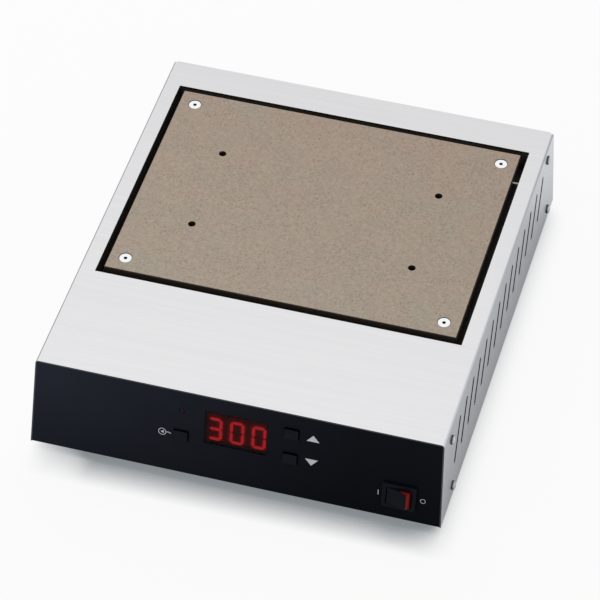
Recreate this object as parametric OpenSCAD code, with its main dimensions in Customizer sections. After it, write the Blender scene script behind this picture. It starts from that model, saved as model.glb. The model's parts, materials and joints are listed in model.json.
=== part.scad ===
// PCB preheater: a bench hotplate in a folded sheet-metal housing with a leaning control panel.
// Millimetres. X runs left to right, Y front to back, Z up.
// The origin lies on the bench, under the middle of the unit.

/* [Housing] */
// Width across the top of the cover
body_w = 290; // [280:1:330]
// Lean of the side walls, which stand wider apart at the base, in degrees
wall_lean = 2.2; // [0:0.1:4]
// Depth of the cover's top sheet, from the front edge to the rear bend
body_d = 323; // [316:1:370]
// Height from the underside of the base plate to the top of the cover
body_h = 68; // [66:1:84]
// Lean of the front panel from the vertical, in degrees
panel_tilt = 11.3; // [6:0.1:15]
// Sheet thickness of the stainless cover
cover_t = 1; // [0.8:0.1:1.4]
// Outside radius of the cover's bends
bend_r = 2.4; // [1.8:0.1:3.4]
// Height of the lip folded down along the cover's rear edge
rear_lip_h = 12; // [8:1:16]
// Sheet thickness of the base plate
base_t = 1.5; // [1.2:0.1:2.2]
// Height of the base plate's folded side lips
base_lip_h = 14; // [8:1:18]
// Thickness of the front panel's face
panel_t = 2; // [1.6:0.1:2.6]
// Sheet thickness of the rear panel and of all folded flanges
flange_t = 1.2; // [1:0.1:1.6]
// How far the side flanges of the front and rear panels reach inwards
flange_d = 30; // [26:1:36]

/* [Vents] */
// Distance between neighbouring slots in the side walls
slot_pitch = 18.9; // [15:0.1:26]
// Length of a side slot along its lean
slot_len = 34.5; // [24:0.5:40]
// Width of a side slot
slot_w = 4; // [1.5:0.1:4]
// Lean of the side slots from the vertical, in degrees
slot_lean = 32.5; // [0:0.5:35]
// Middle of the first slot behind the cover's front edge
slot_first = 34.2; // [32:0.1:50]
// Height of the slot row's middle above the base plate's underside
slot_height = 39; // [36:0.1:44]
// Clear length kept between the last slot and the rear of the cover
slot_rear_clear = 36; // [30:1:60]
// Width of an air slot in the base plate
base_slot_w = 4; // [3:0.5:6]
// Length of an air slot in the base plate
base_slot_len = 40; // [20:1:50]

/* [Feet] */
// Height of a rubber foot
foot_h = 7; // [5:0.5:12]
// Diameter of a rubber foot where it meets the base plate
foot_d = 17; // [14:0.5:20]
// Distance of each foot's centre from the sides and the rear of the housing
foot_inset = 26; // [24:1:32]

/* [Heating plate] */
// Width of the heating plate
plate_w = 256; // [220:1:258]
// Depth of the heating plate
plate_d = 192; // [160:1:196]
// Thickness of the heating plate
plate_t = 6; // [5:0.5:8]
// How far the heating plate stands above the cover
plate_proud = 0.8; // [0.4:0.1:2]
// Width of the air gap between the heating plate and the cover
plate_gap = 5; // [4:0.5:6]
// Cover left behind the plate opening
rear_margin = 27; // [24:1:36]
// Edge distance of the plate screws along X
screw_inset_x = 12; // [10:0.5:16]
// Edge distance of the plate screws along Y
screw_inset_y = 12.6; // [10:0.1:16]
// Diameter of the four fixture holes in the plate
fixture_hole_d = 5.5; // [3.4:0.1:6]
// Distance between the fixture holes along X
fixture_pitch_x = 162; // [120:1:180]
// Distance between the fixture holes along Y
fixture_pitch_y = 76; // [50:1:100]
// Thickness of the mica heater below the plate
heater_t = 2; // [1.5:0.1:3]
// Thickness of the insulation below the heater
insulation_t = 12; // [8:0.5:13]
// Sheet thickness of the heat tray
tray_t = 0.8; // [0.6:0.1:1.2]
// Diameter of the temperature probe that enters the plate's right edge
probe_d = 1.6; // [1:0.1:2.4]
// Distance of the temperature probe from the rear of the housing
probe_from_rear = 59; // [50:1:100]

/* [Controls] */
// Width of the display block
display_w = 45; // [42:0.5:48]
// Height of the display block
display_h = 27.4; // [25:0.1:29]
// Height of a digit
digit_h = 18.6; // [16:0.1:22]
// Width of a digit
digit_w = 10.2; // [8:0.1:11.5]
// Distance between the middles of neighbouring digits
digit_pitch = 15.6; // [13:0.1:16]
// Distance of the digits' middle below the display's middle
digit_drop = 2; // [0:0.1:2.5]
// Width of one digit segment
segment_w = 2.1; // [1.6:0.1:2.6]
// Height of the display's middle above the panel's lower edge, along the lean
display_v = 43.5; // [40:0.1:46]
// Width of a key cap
key_w = 10; // [8:0.1:11]
// Height of a key cap
key_h = 8; // [7:0.1:9]
// How far a key cap stands out of the panel
key_proud = 1.6; // [1:0.1:2]
// Travel of a key
key_travel = 0.8; // [0.3:0.1:0.9]
// Distance of the key columns from the middle of the panel
key_x = 39; // [36:0.1:42]
// Height of the upper key row above the panel's lower edge, along the lean
key_row_high = 52.8; // [51:0.1:55]
// Height of the lower key row above the panel's lower edge, along the lean
key_row_low = 32.1; // [30:0.1:34]
// Diameter of the indicator lamp
lamp_d = 3.6; // [2.6:0.1:4]

/* [Power switch] */
// Distance of the switch's middle from the right side of the housing
switch_from_right = 28; // [28:0.1:40]
// Height of the switch's middle above the panel's lower edge, along the lean
switch_v = 19.8; // [17:0.1:24]
// Width of the switch bezel
bezel_w = 24; // [23:0.1:26]
// Height of the switch bezel
bezel_h = 20; // [19:0.1:22]
// How far the bezel stands out of the panel
bezel_proud = 2; // [1.2:0.1:2.4]
// Radius of the rocker about its pivot
rocker_r = 8.8; // [7.5:0.1:9]
// Width of the rocker along its pivot
rocker_w = 13; // [12:0.1:14.8]
// Angle through which the rocker turns between its two positions
rocker_throw = 36; // [16:1:38]
// Diameter of the rocker's pivot pins
pivot_d = 3; // [2.4:0.1:3.4]

/* [Rear connectors] */
// Distance of the mains inlet from the middle of the rear panel
inlet_x = 92; // [80:1:100]
// Height of the mains inlet's middle above the base plate's underside
inlet_height = 28; // [22:0.5:31]
// Thickness of the mains inlet's flange
inlet_flange_t = 3; // [2:0.1:4]
// Distance between the inlet's fixing screws
inlet_screw_pitch = 40; // [36:0.5:42]
// Distance of the remote socket from the middle of the rear panel
remote_x = 92; // [60:1:110]

/* [Fasteners] */
// Thread diameter of the cover screws
cover_screw_d = 4; // [3:0.5:5]
// Head diameter of the cover screws
cover_head_d = 8; // [6:0.1:9]
// Head height of the cover screws
cover_head_h = 2.6; // [1.8:0.1:3.2]
// Distance of the cover screws from the front and rear edges
cover_screw_inset = 19.5; // [16:0.5:22]
// Distance of the lower cover screws from the lower edge
cover_screw_edge = 8.2; // [8:0.1:13]
// Distance of the upper cover screws at the front below the top
cover_drop_front = 14; // [10:0.1:16]
// Distance of the upper cover screws at the rear below the top
cover_drop_rear = 11; // [10:0.1:16]
// Thread diameter of the plate screws
plate_screw_d = 4; // [4:0.5:5]
// Head diameter of the countersunk plate screws
plate_head_d = 8.8; // [7.5:0.1:10]

/* [Hidden] */
$fn = 48;

// Clearance between sheets that lie against each other
fit = 0.1;
// Clearance around pins and plungers that turn or slide
run = 0.05;
// Clearance around screws in through holes
hole_gap = 0.25;
// Clearance around caps, lenses and the rocker
free = 0.3;

// Levels
z_base = foot_h;
z_floor = z_base + base_t;
z_top = z_base + body_h;
z_roof = z_top - cover_t;
rake = body_h * tan(panel_tilt);

// Rocker: the left end is pressed in at rest and the right end stands out
pivot_n = -0.5;
rocker_low = 16;
rocker_high = rocker_low + rocker_throw;
rocker_skin = 0.5;
rocker_valley = 0.7;
switch_depth = 20;
switch_x = body_w / 2 - switch_from_right;

// Depth: the rocker's tip is the foremost point and the inlet flange the rearmost
tip_n = pivot_n + rocker_r * sin(rocker_high);
tip_reach = tip_n * cos(panel_tilt) - (switch_v - rocker_w / 2) * sin(panel_tilt);
front_reach = max(0, tip_reach);
rear_reach = max(0, inlet_flange_t - cover_t - fit);
y_back = (body_d + rake + front_reach - rear_reach) / 2;
y_top_front = y_back - body_d;
y_low_front = y_top_front - rake;
y_rear = y_back - cover_t - fit;
y_rear_in = y_rear - flange_t;

// Front panel, laid out in its own plane
panel_top_w = 2 * fit_half(z_roof - fit);
panel_lean = atan(tan(wall_lean) * cos(panel_tilt));
panel_v0 = panel_t * tan(panel_tilt);
panel_v1 = (body_h - cover_t - fit) / cos(panel_tilt);
panel_corner_r = bend_r;
z_rear_high = z_top - bend_r - fit;
y_base_front = panel_y(z_floor, -panel_t) + fit;
y_base_rear = y_rear_in - fit;
flange_front = y_top_front + flange_d;
flange_rear = y_rear - flange_d;
flange_low = wall_v(z_floor) + 0.2;
flange_high = wall_v(z_top - bend_r - 1);
flange_seat = cover_t + fit + flange_t;

// Heating stack
opening_w = plate_w + 2 * plate_gap;
opening_d = plate_d + 2 * plate_gap;
opening_back = y_back - rear_margin;
plate_y = opening_back - opening_d / 2;
z_plate_top = z_top + plate_proud;
z_plate = z_plate_top - plate_t;
z_heater = z_plate - heater_t;
z_insulation = z_heater - insulation_t;
z_tray = z_insulation - tray_t;
tray_lap = 1;
tray_w = opening_w + 2 * tray_lap;
tray_d = opening_d + 2 * tray_lap;
plate_break = 0.5;
heater_inset = 5;
spacer_d = 12;
post_af = 10;
post_screw_d = 4;
screw_x = plate_w / 2 - screw_inset_x;
screw_y = plate_d / 2 - screw_inset_y;
screw_length = z_plate_top - z_tray + 9;
plate_head_sink = 0.4;
plate_key_af = 2.5;
probe_y = y_back - probe_from_rear;
probe_z = z_plate + plate_t / 2;
probe_depth = 40;

// Control board and what stands on it, in the panel's own plane
lens_recess = 0.6;
display_t = 10.5;
segment_t = 0.25;
face_n = -panel_t - 0.7;
board_n = face_n - display_t;
board_t = 1.6;
board_w = 122;
board_low = 18.5;
board_top_gap = 2.7;
board_high = panel_v1 - board_top_gap;
board_h = board_high - board_low;
board_v = (board_high + board_low) / 2;
board_screw_d = 3;
board_post_inset = 5;
board_post_x = board_w / 2 - board_post_inset;
board_post_v = board_h / 2 - board_post_inset;
key_flange = 1;
key_flange_lap = 1.2;
key_gap = 0.5;
tact_w = 6;
tact_t = 3.6;
plunger_d = 3.5;
plunger_top = board_n + 4.8;
keys = [[-key_x, key_row_low], [key_x, key_row_high], [key_x, key_row_low]];

// Power board on the floor behind the control board
power_w = 160;
power_d = 46;
power_x = -50;
power_from_front = 56;
power_y = y_top_front + power_from_front;
power_post_h = 6;
z_power = z_floor + power_post_h;
z_power_top = z_power + board_t;
power_post_x = power_w / 2 - board_post_inset;
power_post_y = power_d / 2 - board_post_inset;

// Transformer on the power board
core_offset = 52;
core_x = power_x - core_offset;
core_w = 42;
core_d = 18;
core_h = 34;
core_leg = 7;
core_lift = 4;
coil_slack = 0.2;
coil_w = 4 * core_leg - 2 * coil_slack;
coil_d = 32;
coil_z = core_lift + core_leg + 2 * coil_slack;
coil_h = core_h - 2 * core_leg - 4 * coil_slack;
coil_foot_w = 24;
coil_foot_d = 6;

// Heat sink, triac, fuse and terminals on the power board
sink_offset = 20;
sink_w = 44;
sink_t = 4;
sink_h = 34;
sink_x = power_x + sink_offset;
sink_y = power_y + sink_t / 2;
fin_count = 7;
fin_t = 2;
fin_d = 14;
triac_w = 10;
triac_t = 4.5;
triac_h = 15;
triac_lift = 8;
triac_leg_w = 0.8;
triac_leg_pitch = 2.5;
fuse_offset = 20;
fuse_x = power_x - fuse_offset;
fuse_d = 5;
fuse_len = 20;
fuse_lift = 6;
clip_w = 7;
clip_t = 3;
clip_inset = 2;
terminal_offset = 68;
terminal_x = power_x + terminal_offset;
terminal_w = 9;
terminal_h = 11;
terminal_pitch = 5;
terminal_count = 6;
terminal_screw_d = 3.2;

// Small hardware
small_head_d = 5.6;
small_head_h = 1.9;
large_head_d = 7.6;
large_head_h = 2.4;
small_post_af = 5.5;
small_nut_af = 5.5;
small_nut_h = 2.4;
large_nut_af = 7;
large_nut_h = 3.2;
spade_w = 4.8;
spade_t = 0.8;
spade_len = 7;
cutout_d = 16;
cutout_h = 8;
cutout_flange_w = 24;
cutout_flange_d = 10;
cutout_flange_t = 0.8;

// Rear connectors
inlet_z = z_base + inlet_height;
inlet_w = 27;
inlet_h = 19.6;
inlet_depth = 18;
inlet_cavity = 15.5;
inlet_flange_w = 50;
inlet_flange_h = 24;
inlet_screw_d = 3;
mouth_w = 24.4;
mouth_h = 16.4;
mouth_cut = 5;
blades = [[0, 3.6], [-7, -1.6], [7, -1.6]];
blade_w = 2;
blade_h = 4;
socket_w = 20;
socket_h = inlet_h;
socket_depth = 14;
socket_flange = 1.2;
socket_mouth_w = 11.6;
socket_mouth_h = 7.2;
socket_latch_w = 6.2;
socket_latch_h = 1.9;

// Feet, base screws and air slots
foot_x = body_w / 2 - foot_inset;
foot_y = [y_low_front + foot_inset + 6, y_back - foot_inset];
foot_head_seat = foot_h * 0.55;
foot_screw_d = 4;
base_screw_d = 3;
base_screw_x = [-100, 0, 100];
base_screw_y = [y_base_front + 7, y_base_rear - 7];
air_slots = 9;
air_pitch = 18;
air_row = 35;
earth_x = 52;
earth_from_rear = 52;
earth_y = y_back - earth_from_rear;

// Y of the leaning panel plane at height z and depth n below its face
function panel_y(z, n) = y_low_front + (z - z_base) * tan(panel_tilt) - n / cos(panel_tilt);

// Places children in the panel's plane: x to the right, y up the lean, z out of the panel
module on_panel() {
    translate([0, y_low_front, z_base]) rotate([90 - panel_tilt, 0, 0]) children();
}

// Places children on the rear panel: x to the left of the unit, y up, z out of the panel
module on_rear(x, z) {
    translate([x, y_rear, z]) rotate([90, 0, 180]) children();
}

// Inside half width of the cover at height z, and the half width of what fits between its walls
function inner_half(z) = body_w / 2 + (z_top - z) * tan(wall_lean) - cover_t / cos(wall_lean);
function fit_half(z) = inner_half(z) - fit / cos(wall_lean);

// Distance up the leaning wall at height z
function wall_v(z) = (z - z_base) / cos(wall_lean);

// Places children on both side walls: x to the rear, y up the wall, z out of the wall
module on_walls() {
    foot_half = body_w / 2 + body_h * tan(wall_lean);
    for (side = [0, 1])
        mirror([side, 0, 0]) translate([foot_half, 0, z_base])
            rotate([0, -wall_lean, 0]) rotate([90, 0, 90]) children();
}

module rounded_rect(w, h, r) {
    square([w - 2 * r, h], center = true);
    square([w, h - 2 * r], center = true);
    for (x = [-1, 1], y = [-1, 1])
        translate([x * (w / 2 - r), y * (h / 2 - r)]) circle(r);
}

// Outline of an upside-down trough, standing on the x axis: w wide at its top, wider below
module trough(w, h, r, lean) {
    bend_x = w / 2 - r * (1 - sin(lean)) / cos(lean);
    side_x = bend_x + r * cos(lean);
    side_y = h - r + r * sin(lean);
    foot_x = w / 2 + h * tan(lean);
    polygon([[-bend_x, h], [bend_x, h], [side_x, side_y], [foot_x, 0], [-foot_x, 0], [-side_x, side_y]]);
    for (side = [-1, 1])
        translate([side * bend_x, h - r]) circle(r);
}

// Pan-head screw standing on z = 0, head up, with a cross recess
module pan_screw(d, head_d, head_h, length) {
    dome_r = (head_d * head_d / 4 + head_h * head_h) / (2 * head_h);
    recess = head_h * 0.55;
    difference() {
        intersection() {
            translate([0, 0, head_h - dome_r]) sphere(dome_r);
            cylinder(d = head_d + 1, h = head_h + 1);
        }
        for (a = [0, 90])
            rotate([0, 0, a])
                translate([-head_d * 0.3, -head_d * 0.06, head_h - recess])
                    cube([head_d * 0.6, head_d * 0.12, head_h]);
    }
    translate([0, 0, -length]) cylinder(d = d, h = length);
}

module hex_bar(af, h) {
    cylinder(d = af / cos(30), h = h, $fn = 6);
}

module hex_nut(d, af, h) {
    difference() {
        hex_bar(af, h);
        translate([0, 0, -1]) cylinder(d = d + 2 * run, h = h + 2);
    }
}

// Round-ended slot along x, cut through both side walls, at depth y and height z
module side_slot(y, z) {
    straight = slot_len - slot_w;
    translate([0, y, z]) rotate([-slot_lean, 0, 0]) {
        cube([body_w + 40, slot_w, straight], center = true);
        for (end = [-1, 1])
            translate([-body_w / 2 - 20, 0, end * straight / 2])
                rotate([0, 90, 0]) cylinder(d = slot_w, h = body_w + 40);
    }
}

// Positions of the four cover screws of one wall, as [distance to the rear, distance up the wall]
function cover_screw_places() = [
    [y_top_front + cover_screw_inset, wall_v(z_base + cover_screw_edge)],
    [y_top_front + cover_screw_inset, wall_v(z_top - cover_drop_front)],
    [y_back - cover_screw_inset, wall_v(z_base + cover_screw_edge)],
    [y_back - cover_screw_inset, wall_v(z_top - cover_drop_rear)]
];

module cover_screw_holes(d) {
    on_walls() for (p = cover_screw_places())
        translate([p[0], p[1], -10]) cylinder(d = d, h = 20);
}

// Cuts away everything in front of the panel's plane
module front_cut() {
    on_panel()
        translate([-body_w, -body_h, 0]) cube([2 * body_w, 3 * body_h, 3 * body_h]);
}

// Lip folded down along the rear of the cover, with open corners
module rear_lip() {
    lip_w = body_w - 2 * (cover_t + 1.5);
    inner_r = bend_r - cover_t;
    translate([-lip_w / 2, y_back - bend_r, z_top - bend_r])
        rotate([90, 0, 90]) linear_extrude(lip_w) {
            difference() {
                circle(bend_r);
                circle(inner_r);
                translate([-2 * bend_r, -2 * bend_r]) square([2 * bend_r, 4 * bend_r]);
                translate([-2 * bend_r, -2 * bend_r]) square([4 * bend_r, 2 * bend_r]);
            }
            translate([inner_r, bend_r - rear_lip_h]) square([cover_t, rear_lip_h - bend_r]);
        }
}

// Stainless cover: top, both sides and a rear lip folded from one sheet
module top_cover() {
    slot_last = body_d - slot_rear_clear;
    color("silver") {
        difference() {
            translate([0, y_back, z_base]) rotate([90, 0, 0])
                linear_extrude(body_d + rake) difference() {
                    trough(body_w, body_h, bend_r, wall_lean);
                    translate([0, -1])
                        trough(2 * inner_half(z_roof), body_h - cover_t + 1, bend_r - cover_t, wall_lean);
                }
            front_cut();
            translate([-opening_w / 2, plate_y - opening_d / 2, z_roof - 1])
                cube([opening_w, opening_d, cover_t + 2]);
            translate([-body_w, y_back - bend_r, z_top - bend_r]) cube([2 * body_w, 20, 20]);
            for (y = [slot_first : slot_pitch : slot_last])
                side_slot(y_top_front + y, z_base + slot_height);
            cover_screw_holes(cover_screw_d + 2 * hole_gap);
        }
        rear_lip();
    }
}

// Floor of the housing: a flat sheet with two side lips, air slots and screw holes
module base_plate() {
    half = fit_half(z_floor);
    lip_front = flange_front + 2;
    lip_d = flange_rear - 2 - lip_front;
    color("dimgray") difference() {
        union() {
            translate([-half, y_base_front, z_base]) cube([2 * half, y_base_rear - y_base_front, base_t]);
            on_walls() translate([lip_front, 0.2, -cover_t - fit - base_t])
                cube([lip_d, base_lip_h, base_t]);
        }
        for (x = [-1, 1], y = foot_y)
            translate([x * foot_x, y, z_base - 1])
                cylinder(d = foot_screw_d + 2 * hole_gap, h = base_t + 2);
        for (x = [-1, 1], y = [-1, 1])
            translate([x * screw_x, plate_y + y * screw_y, z_base - 1])
                cylinder(d = post_screw_d + 2 * hole_gap, h = base_t + 2);
        for (x = base_screw_x, y = base_screw_y)
            translate([x, y, z_base - 1])
                cylinder(d = base_screw_d + 2 * hole_gap, h = base_t + 2);
        for (x = [-1, 1], y = [-1, 1])
            translate([power_x + x * power_post_x, power_y + y * power_post_y, z_base - 1])
                cylinder(d = base_screw_d + 2 * hole_gap, h = base_t + 2);
        translate([earth_x, earth_y, z_base - 1])
            cylinder(d = foot_screw_d + 2 * hole_gap, h = base_t + 2);
        for (i = [0 : air_slots - 1], row = [-1, 1])
            translate([(i - (air_slots - 1) / 2) * air_pitch, plate_y + row * air_row, z_base - 1])
                linear_extrude(base_t + 2)
                    rounded_rect(base_slot_w, base_slot_len, base_slot_w * 0.45);
    }
}

// Openings in the face of the front panel
module panel_cutouts() {
    translate([0, display_v]) square([display_w + free, display_h + free], center = true);
    for (k = keys)
        translate(k) rounded_rect(key_w + 2 * key_gap, key_h + 2 * key_gap, 1);
    translate([-key_x, key_row_high]) circle(d = lamp_d + free);
    translate([switch_x, switch_v]) square([bezel_w - 2, bezel_h - 1.8], center = true);
}

// Black front panel: a leaning face with side, top and bottom flanges folded back
module front_panel() {
    z_low = z_base + flange_low;
    z_high = z_base + flange_high;
    low_half = fit_half(z_floor + flange_t) - flange_t / 2;
    top_half = fit_half(z_roof) - 8;
    color("black") difference() {
        union() {
            on_panel() translate([0, panel_v0, -panel_t]) linear_extrude(panel_t)
                trough(panel_top_w, panel_v1 - panel_v0, panel_corner_r, panel_lean);
            on_walls() translate([0, 0, -flange_seat]) linear_extrude(flange_t)
                polygon([
                    [panel_y(z_low, -panel_t / 2), flange_low],
                    [flange_front, flange_low],
                    [flange_front, flange_high],
                    [panel_y(z_high, -panel_t / 2), flange_high]
                ]);
            translate([-low_half, panel_y(z_floor, -panel_t), z_floor])
                cube([2 * low_half, 14, flange_t]);
            translate([-top_half, panel_y(z_roof, -panel_t / 2), z_roof - fit - flange_t])
                cube([2 * top_half, 12, flange_t]);
        }
        on_panel() translate([0, 0, -panel_t - 1]) linear_extrude(panel_t + 2) panel_cutouts();
        cover_screw_holes(cover_screw_d + 2 * run);
        for (x = base_screw_x)
            translate([x, base_screw_y[0], z_base]) cylinder(d = base_screw_d + 2 * run, h = 10);
    }
}

// Black rear panel with its connector openings and folded flanges
module rear_panel() {
    top_w = 2 * fit_half(z_rear_high);
    low_half = fit_half(z_floor + flange_t) - flange_t / 2;
    color("black") difference() {
        union() {
            translate([0, y_rear, z_base]) rotate([90, 0, 0])
                linear_extrude(flange_t) trough(top_w, z_rear_high - z_base, panel_corner_r, wall_lean);
            on_walls() translate([flange_rear, flange_low, -flange_seat])
                cube([flange_d - flange_t / 2, flange_high - flange_low, flange_t]);
            translate([-low_half, y_rear_in - 14, z_floor])
                cube([2 * low_half, 14 + flange_t / 2, flange_t]);
        }
        on_rear(inlet_x, inlet_z) translate([0, 0, -flange_t - 1]) linear_extrude(flange_t + 2) {
            square([inlet_w + free, inlet_h + free], center = true);
            for (side = [-1, 1])
                translate([side * inlet_screw_pitch / 2, 0]) circle(d = inlet_screw_d + 2 * hole_gap);
        }
        on_rear(-remote_x, inlet_z) translate([0, 0, -flange_t - 1])
            linear_extrude(flange_t + 2) square([socket_w + free, socket_h + free], center = true);
        cover_screw_holes(cover_screw_d + 2 * run);
        for (x = base_screw_x)
            translate([x, base_screw_y[1], z_base]) cylinder(d = base_screw_d + 2 * run, h = 10);
    }
}

// Four pan-head screws in each side wall
module cover_screws() {
    reach = cover_t + flange_t + 4;
    color("gainsboro") on_walls() for (p = cover_screw_places())
        translate([p[0], p[1], 0]) pan_screw(cover_screw_d, cover_head_d, cover_head_h, reach);
}

// Screws that join the base plate to the flanges of the front and rear panels
module base_screws() {
    reach = base_t + flange_t + 3;
    color("gainsboro") for (x = base_screw_x, y = base_screw_y)
        translate([x, y, z_base]) rotate([180, 0, 0])
            pan_screw(base_screw_d, small_head_d, small_head_h, reach);
}

// Rubber feet, each with a counterbore for its screw
module feet() {
    counterbore_r = large_head_d / 2 + 0.6;
    color("black") for (x = [-1, 1], y = foot_y)
        translate([x * foot_x, y, 0]) rotate_extrude()
            polygon([
                [counterbore_r, 0], [foot_d / 2 - 1, 0], [foot_d / 2, foot_h],
                [foot_screw_d / 2 + hole_gap, foot_h], [foot_screw_d / 2 + hole_gap, foot_head_seat],
                [counterbore_r, foot_head_seat]
            ]);
}

// Screws that hold the feet, heads inside the counterbores
module foot_screws() {
    reach = foot_h - foot_head_seat + base_t + large_nut_h + 1;
    color("gainsboro") for (x = [-1, 1], y = foot_y)
        translate([x * foot_x, y, foot_head_seat]) rotate([180, 0, 0])
            pan_screw(foot_screw_d, large_head_d, large_head_h, reach);
}

module foot_nuts() {
    color("gainsboro") for (x = [-1, 1], y = foot_y)
        translate([x * foot_x, y, z_floor]) hex_nut(foot_screw_d, large_nut_af, large_nut_h);
}

// Heating plate with countersunk screw holes, fixture holes and a probe bore in its right edge
module heating_plate() {
    half_w = plate_w / 2;
    half_d = plate_d / 2;
    countersink_d = plate_head_d + 2 * (plate_head_sink + run);
    color("tan") translate([0, plate_y, z_plate]) difference() {
        linear_extrude(plate_t) rounded_rect(plate_w, plate_d, 1);
        for (side = [-1, 1]) {
            translate([side * half_w, 0, plate_t]) rotate([0, 45, 0])
                cube([plate_break * sqrt(2), plate_d + 2, plate_break * sqrt(2)], center = true);
            translate([0, side * half_d, plate_t]) rotate([45, 0, 0])
                cube([plate_w + 2, plate_break * sqrt(2), plate_break * sqrt(2)], center = true);
        }
        for (x = [-1, 1], y = [-1, 1]) {
            translate([x * screw_x, y * screw_y, -1])
                cylinder(d = plate_screw_d + 2 * hole_gap, h = plate_t + 2);
            translate([x * screw_x, y * screw_y, plate_t - countersink_d / 2])
                cylinder(r1 = 0, r2 = countersink_d / 2, h = countersink_d / 2);
            translate([x * fixture_pitch_x / 2, y * fixture_pitch_y / 2, -1])
                cylinder(d = fixture_hole_d, h = plate_t + 2);
        }
        translate([half_w - probe_depth - 0.5, probe_y - plate_y, plate_t / 2])
            rotate([0, 90, 0]) cylinder(d = probe_d + 2 * run, h = probe_depth + 10);
    }
}

// Countersunk socket screws that hold the plate, spacers and tray on the posts
module plate_screws() {
    head_r = plate_head_d / 2;
    head_h = head_r - plate_screw_d / 2;
    color("gainsboro") for (x = [-1, 1], y = [-1, 1])
        translate([x * screw_x, plate_y + y * screw_y, z_plate_top]) difference() {
            union() {
                translate([0, 0, -head_h - plate_head_sink])
                    cylinder(r1 = plate_screw_d / 2, r2 = head_r, h = head_h);
                translate([0, 0, -screw_length]) cylinder(d = plate_screw_d, h = screw_length - head_h);
            }
            translate([0, 0, -plate_head_sink - 1.8]) hex_bar(plate_key_af, 4);
        }
}

// Layer of the heating stack, with notched corners for the spacers and holes for fixture pins
module stack_layer(h) {
    notch = spacer_d / 2 + 1;
    layer_w = plate_w - 2 * heater_inset;
    layer_d = plate_d - 2 * heater_inset;
    linear_extrude(h) difference() {
        square([layer_w, layer_d], center = true);
        for (x = [-1, 1], y = [-1, 1]) {
            translate([x * (screw_x - notch + layer_w / 2), y * (screw_y - notch + layer_d / 2)])
                square([layer_w, layer_d], center = true);
            translate([x * fixture_pitch_x / 2, y * fixture_pitch_y / 2])
                circle(d = fixture_hole_d + 4);
        }
    }
}

// Flat mica heater clamped below the plate
module heater_mat() {
    color("khaki") translate([0, plate_y, z_heater]) stack_layer(heater_t);
}

// Ceramic fibre board below the heater
module insulation_board() {
    color("white") translate([0, plate_y, z_insulation]) stack_layer(insulation_t);
}

// Blackened tray that carries the heating stack and closes the gap from below
module heat_tray() {
    wall_h = z_roof - 0.4 - z_tray;
    color("black") translate([0, plate_y, z_tray]) difference() {
        linear_extrude(wall_h) square([tray_w + 2 * tray_t, tray_d + 2 * tray_t], center = true);
        translate([0, 0, tray_t]) linear_extrude(wall_h) square([tray_w, tray_d], center = true);
        for (x = [-1, 1], y = [-1, 1])
            translate([x * screw_x, y * screw_y, -1])
                cylinder(d = plate_screw_d + 2 * hole_gap, h = tray_t + 2);
        translate([tray_w / 2 - 5, probe_y - plate_y, probe_z - z_tray])
            rotate([0, 90, 0]) cylinder(d = probe_d + 1, h = 10);
    }
}

// Ceramic tubes between the tray and the plate
module ceramic_spacers() {
    color("ivory") for (x = [-1, 1], y = [-1, 1])
        translate([x * screw_x, plate_y + y * screw_y, z_insulation]) difference() {
            cylinder(d = spacer_d, h = heater_t + insulation_t);
            translate([0, 0, -1])
                cylinder(d = plate_screw_d + 2 * hole_gap, h = heater_t + insulation_t + 2);
        }
}

// Hexagonal posts from the floor to the tray
module tray_posts() {
    post_h = z_tray - z_floor;
    color("gainsboro") for (x = [-1, 1], y = [-1, 1])
        translate([x * screw_x, plate_y + y * screw_y, z_floor]) difference() {
            hex_bar(post_af, post_h);
            translate([0, 0, post_h - 12]) cylinder(d = plate_screw_d + 2 * run, h = 14);
            translate([0, 0, -1]) cylinder(d = post_screw_d + 2 * run, h = 10);
        }
}

// Screws that hold the posts from below
module post_screws() {
    color("gainsboro") for (x = [-1, 1], y = [-1, 1])
        translate([x * screw_x, plate_y + y * screw_y, z_base]) rotate([180, 0, 0])
            pan_screw(post_screw_d, large_head_d, large_head_h, base_t + 7);
}

// Sheathed probe that crosses the gap into the plate's right edge
module temperature_probe() {
    tail = 4;
    x_in = plate_w / 2 - probe_depth;
    x_out = tray_w / 2 + tray_t + tail;
    color("gainsboro") translate([x_in, probe_y, probe_z]) rotate([0, 90, 0])
        cylinder(d = probe_d, h = x_out - x_in);
}

// Disc thermostat on the underside of the tray
module thermal_cutout() {
    color("dimgray") translate([0, plate_y, z_tray]) rotate([180, 0, 0]) {
        linear_extrude(cutout_flange_t) rounded_rect(cutout_flange_w, cutout_flange_d, cutout_flange_d * 0.3);
        cylinder(d = cutout_d, h = cutout_h);
        for (side = [-1, 1])
            translate([side * cutout_d / 4 - spade_t / 2, -spade_w / 2, cutout_h - 1])
                cube([spade_t, spade_w, spade_len]);
    }
}

// Circuit board parallel to the front panel
module control_board() {
    color("darkgreen") on_panel() translate([0, board_v, board_n - board_t]) difference() {
        linear_extrude(board_t) square([board_w, board_h], center = true);
        for (x = [-1, 1], v = [-1, 1])
            translate([x * board_post_x, v * board_post_v, -1])
                cylinder(d = board_screw_d + 2 * hole_gap, h = board_t + 2);
    }
}

// Hexagonal posts between the panel's back and the control board
module board_posts() {
    post_h = -panel_t - board_n;
    color("gainsboro") on_panel() for (x = [-1, 1], v = [-1, 1])
        translate([x * board_post_x, board_v + v * board_post_v, board_n]) difference() {
            hex_bar(small_post_af, post_h);
            translate([0, 0, -1]) cylinder(d = board_screw_d + 2 * run, h = 8);
        }
}

module board_screws() {
    color("gainsboro") on_panel() for (x = [-1, 1], v = [-1, 1])
        translate([x * board_post_x, board_v + v * board_post_v, board_n - board_t])
            rotate([180, 0, 0]) pan_screw(board_screw_d, small_head_d, small_head_h, board_t + 5);
}

// Three-digit display body
module display_block() {
    color("black") on_panel()
        translate([0, display_v, board_n]) linear_extrude(display_t)
            square([display_w - free, display_h - free], center = true);
}

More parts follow.
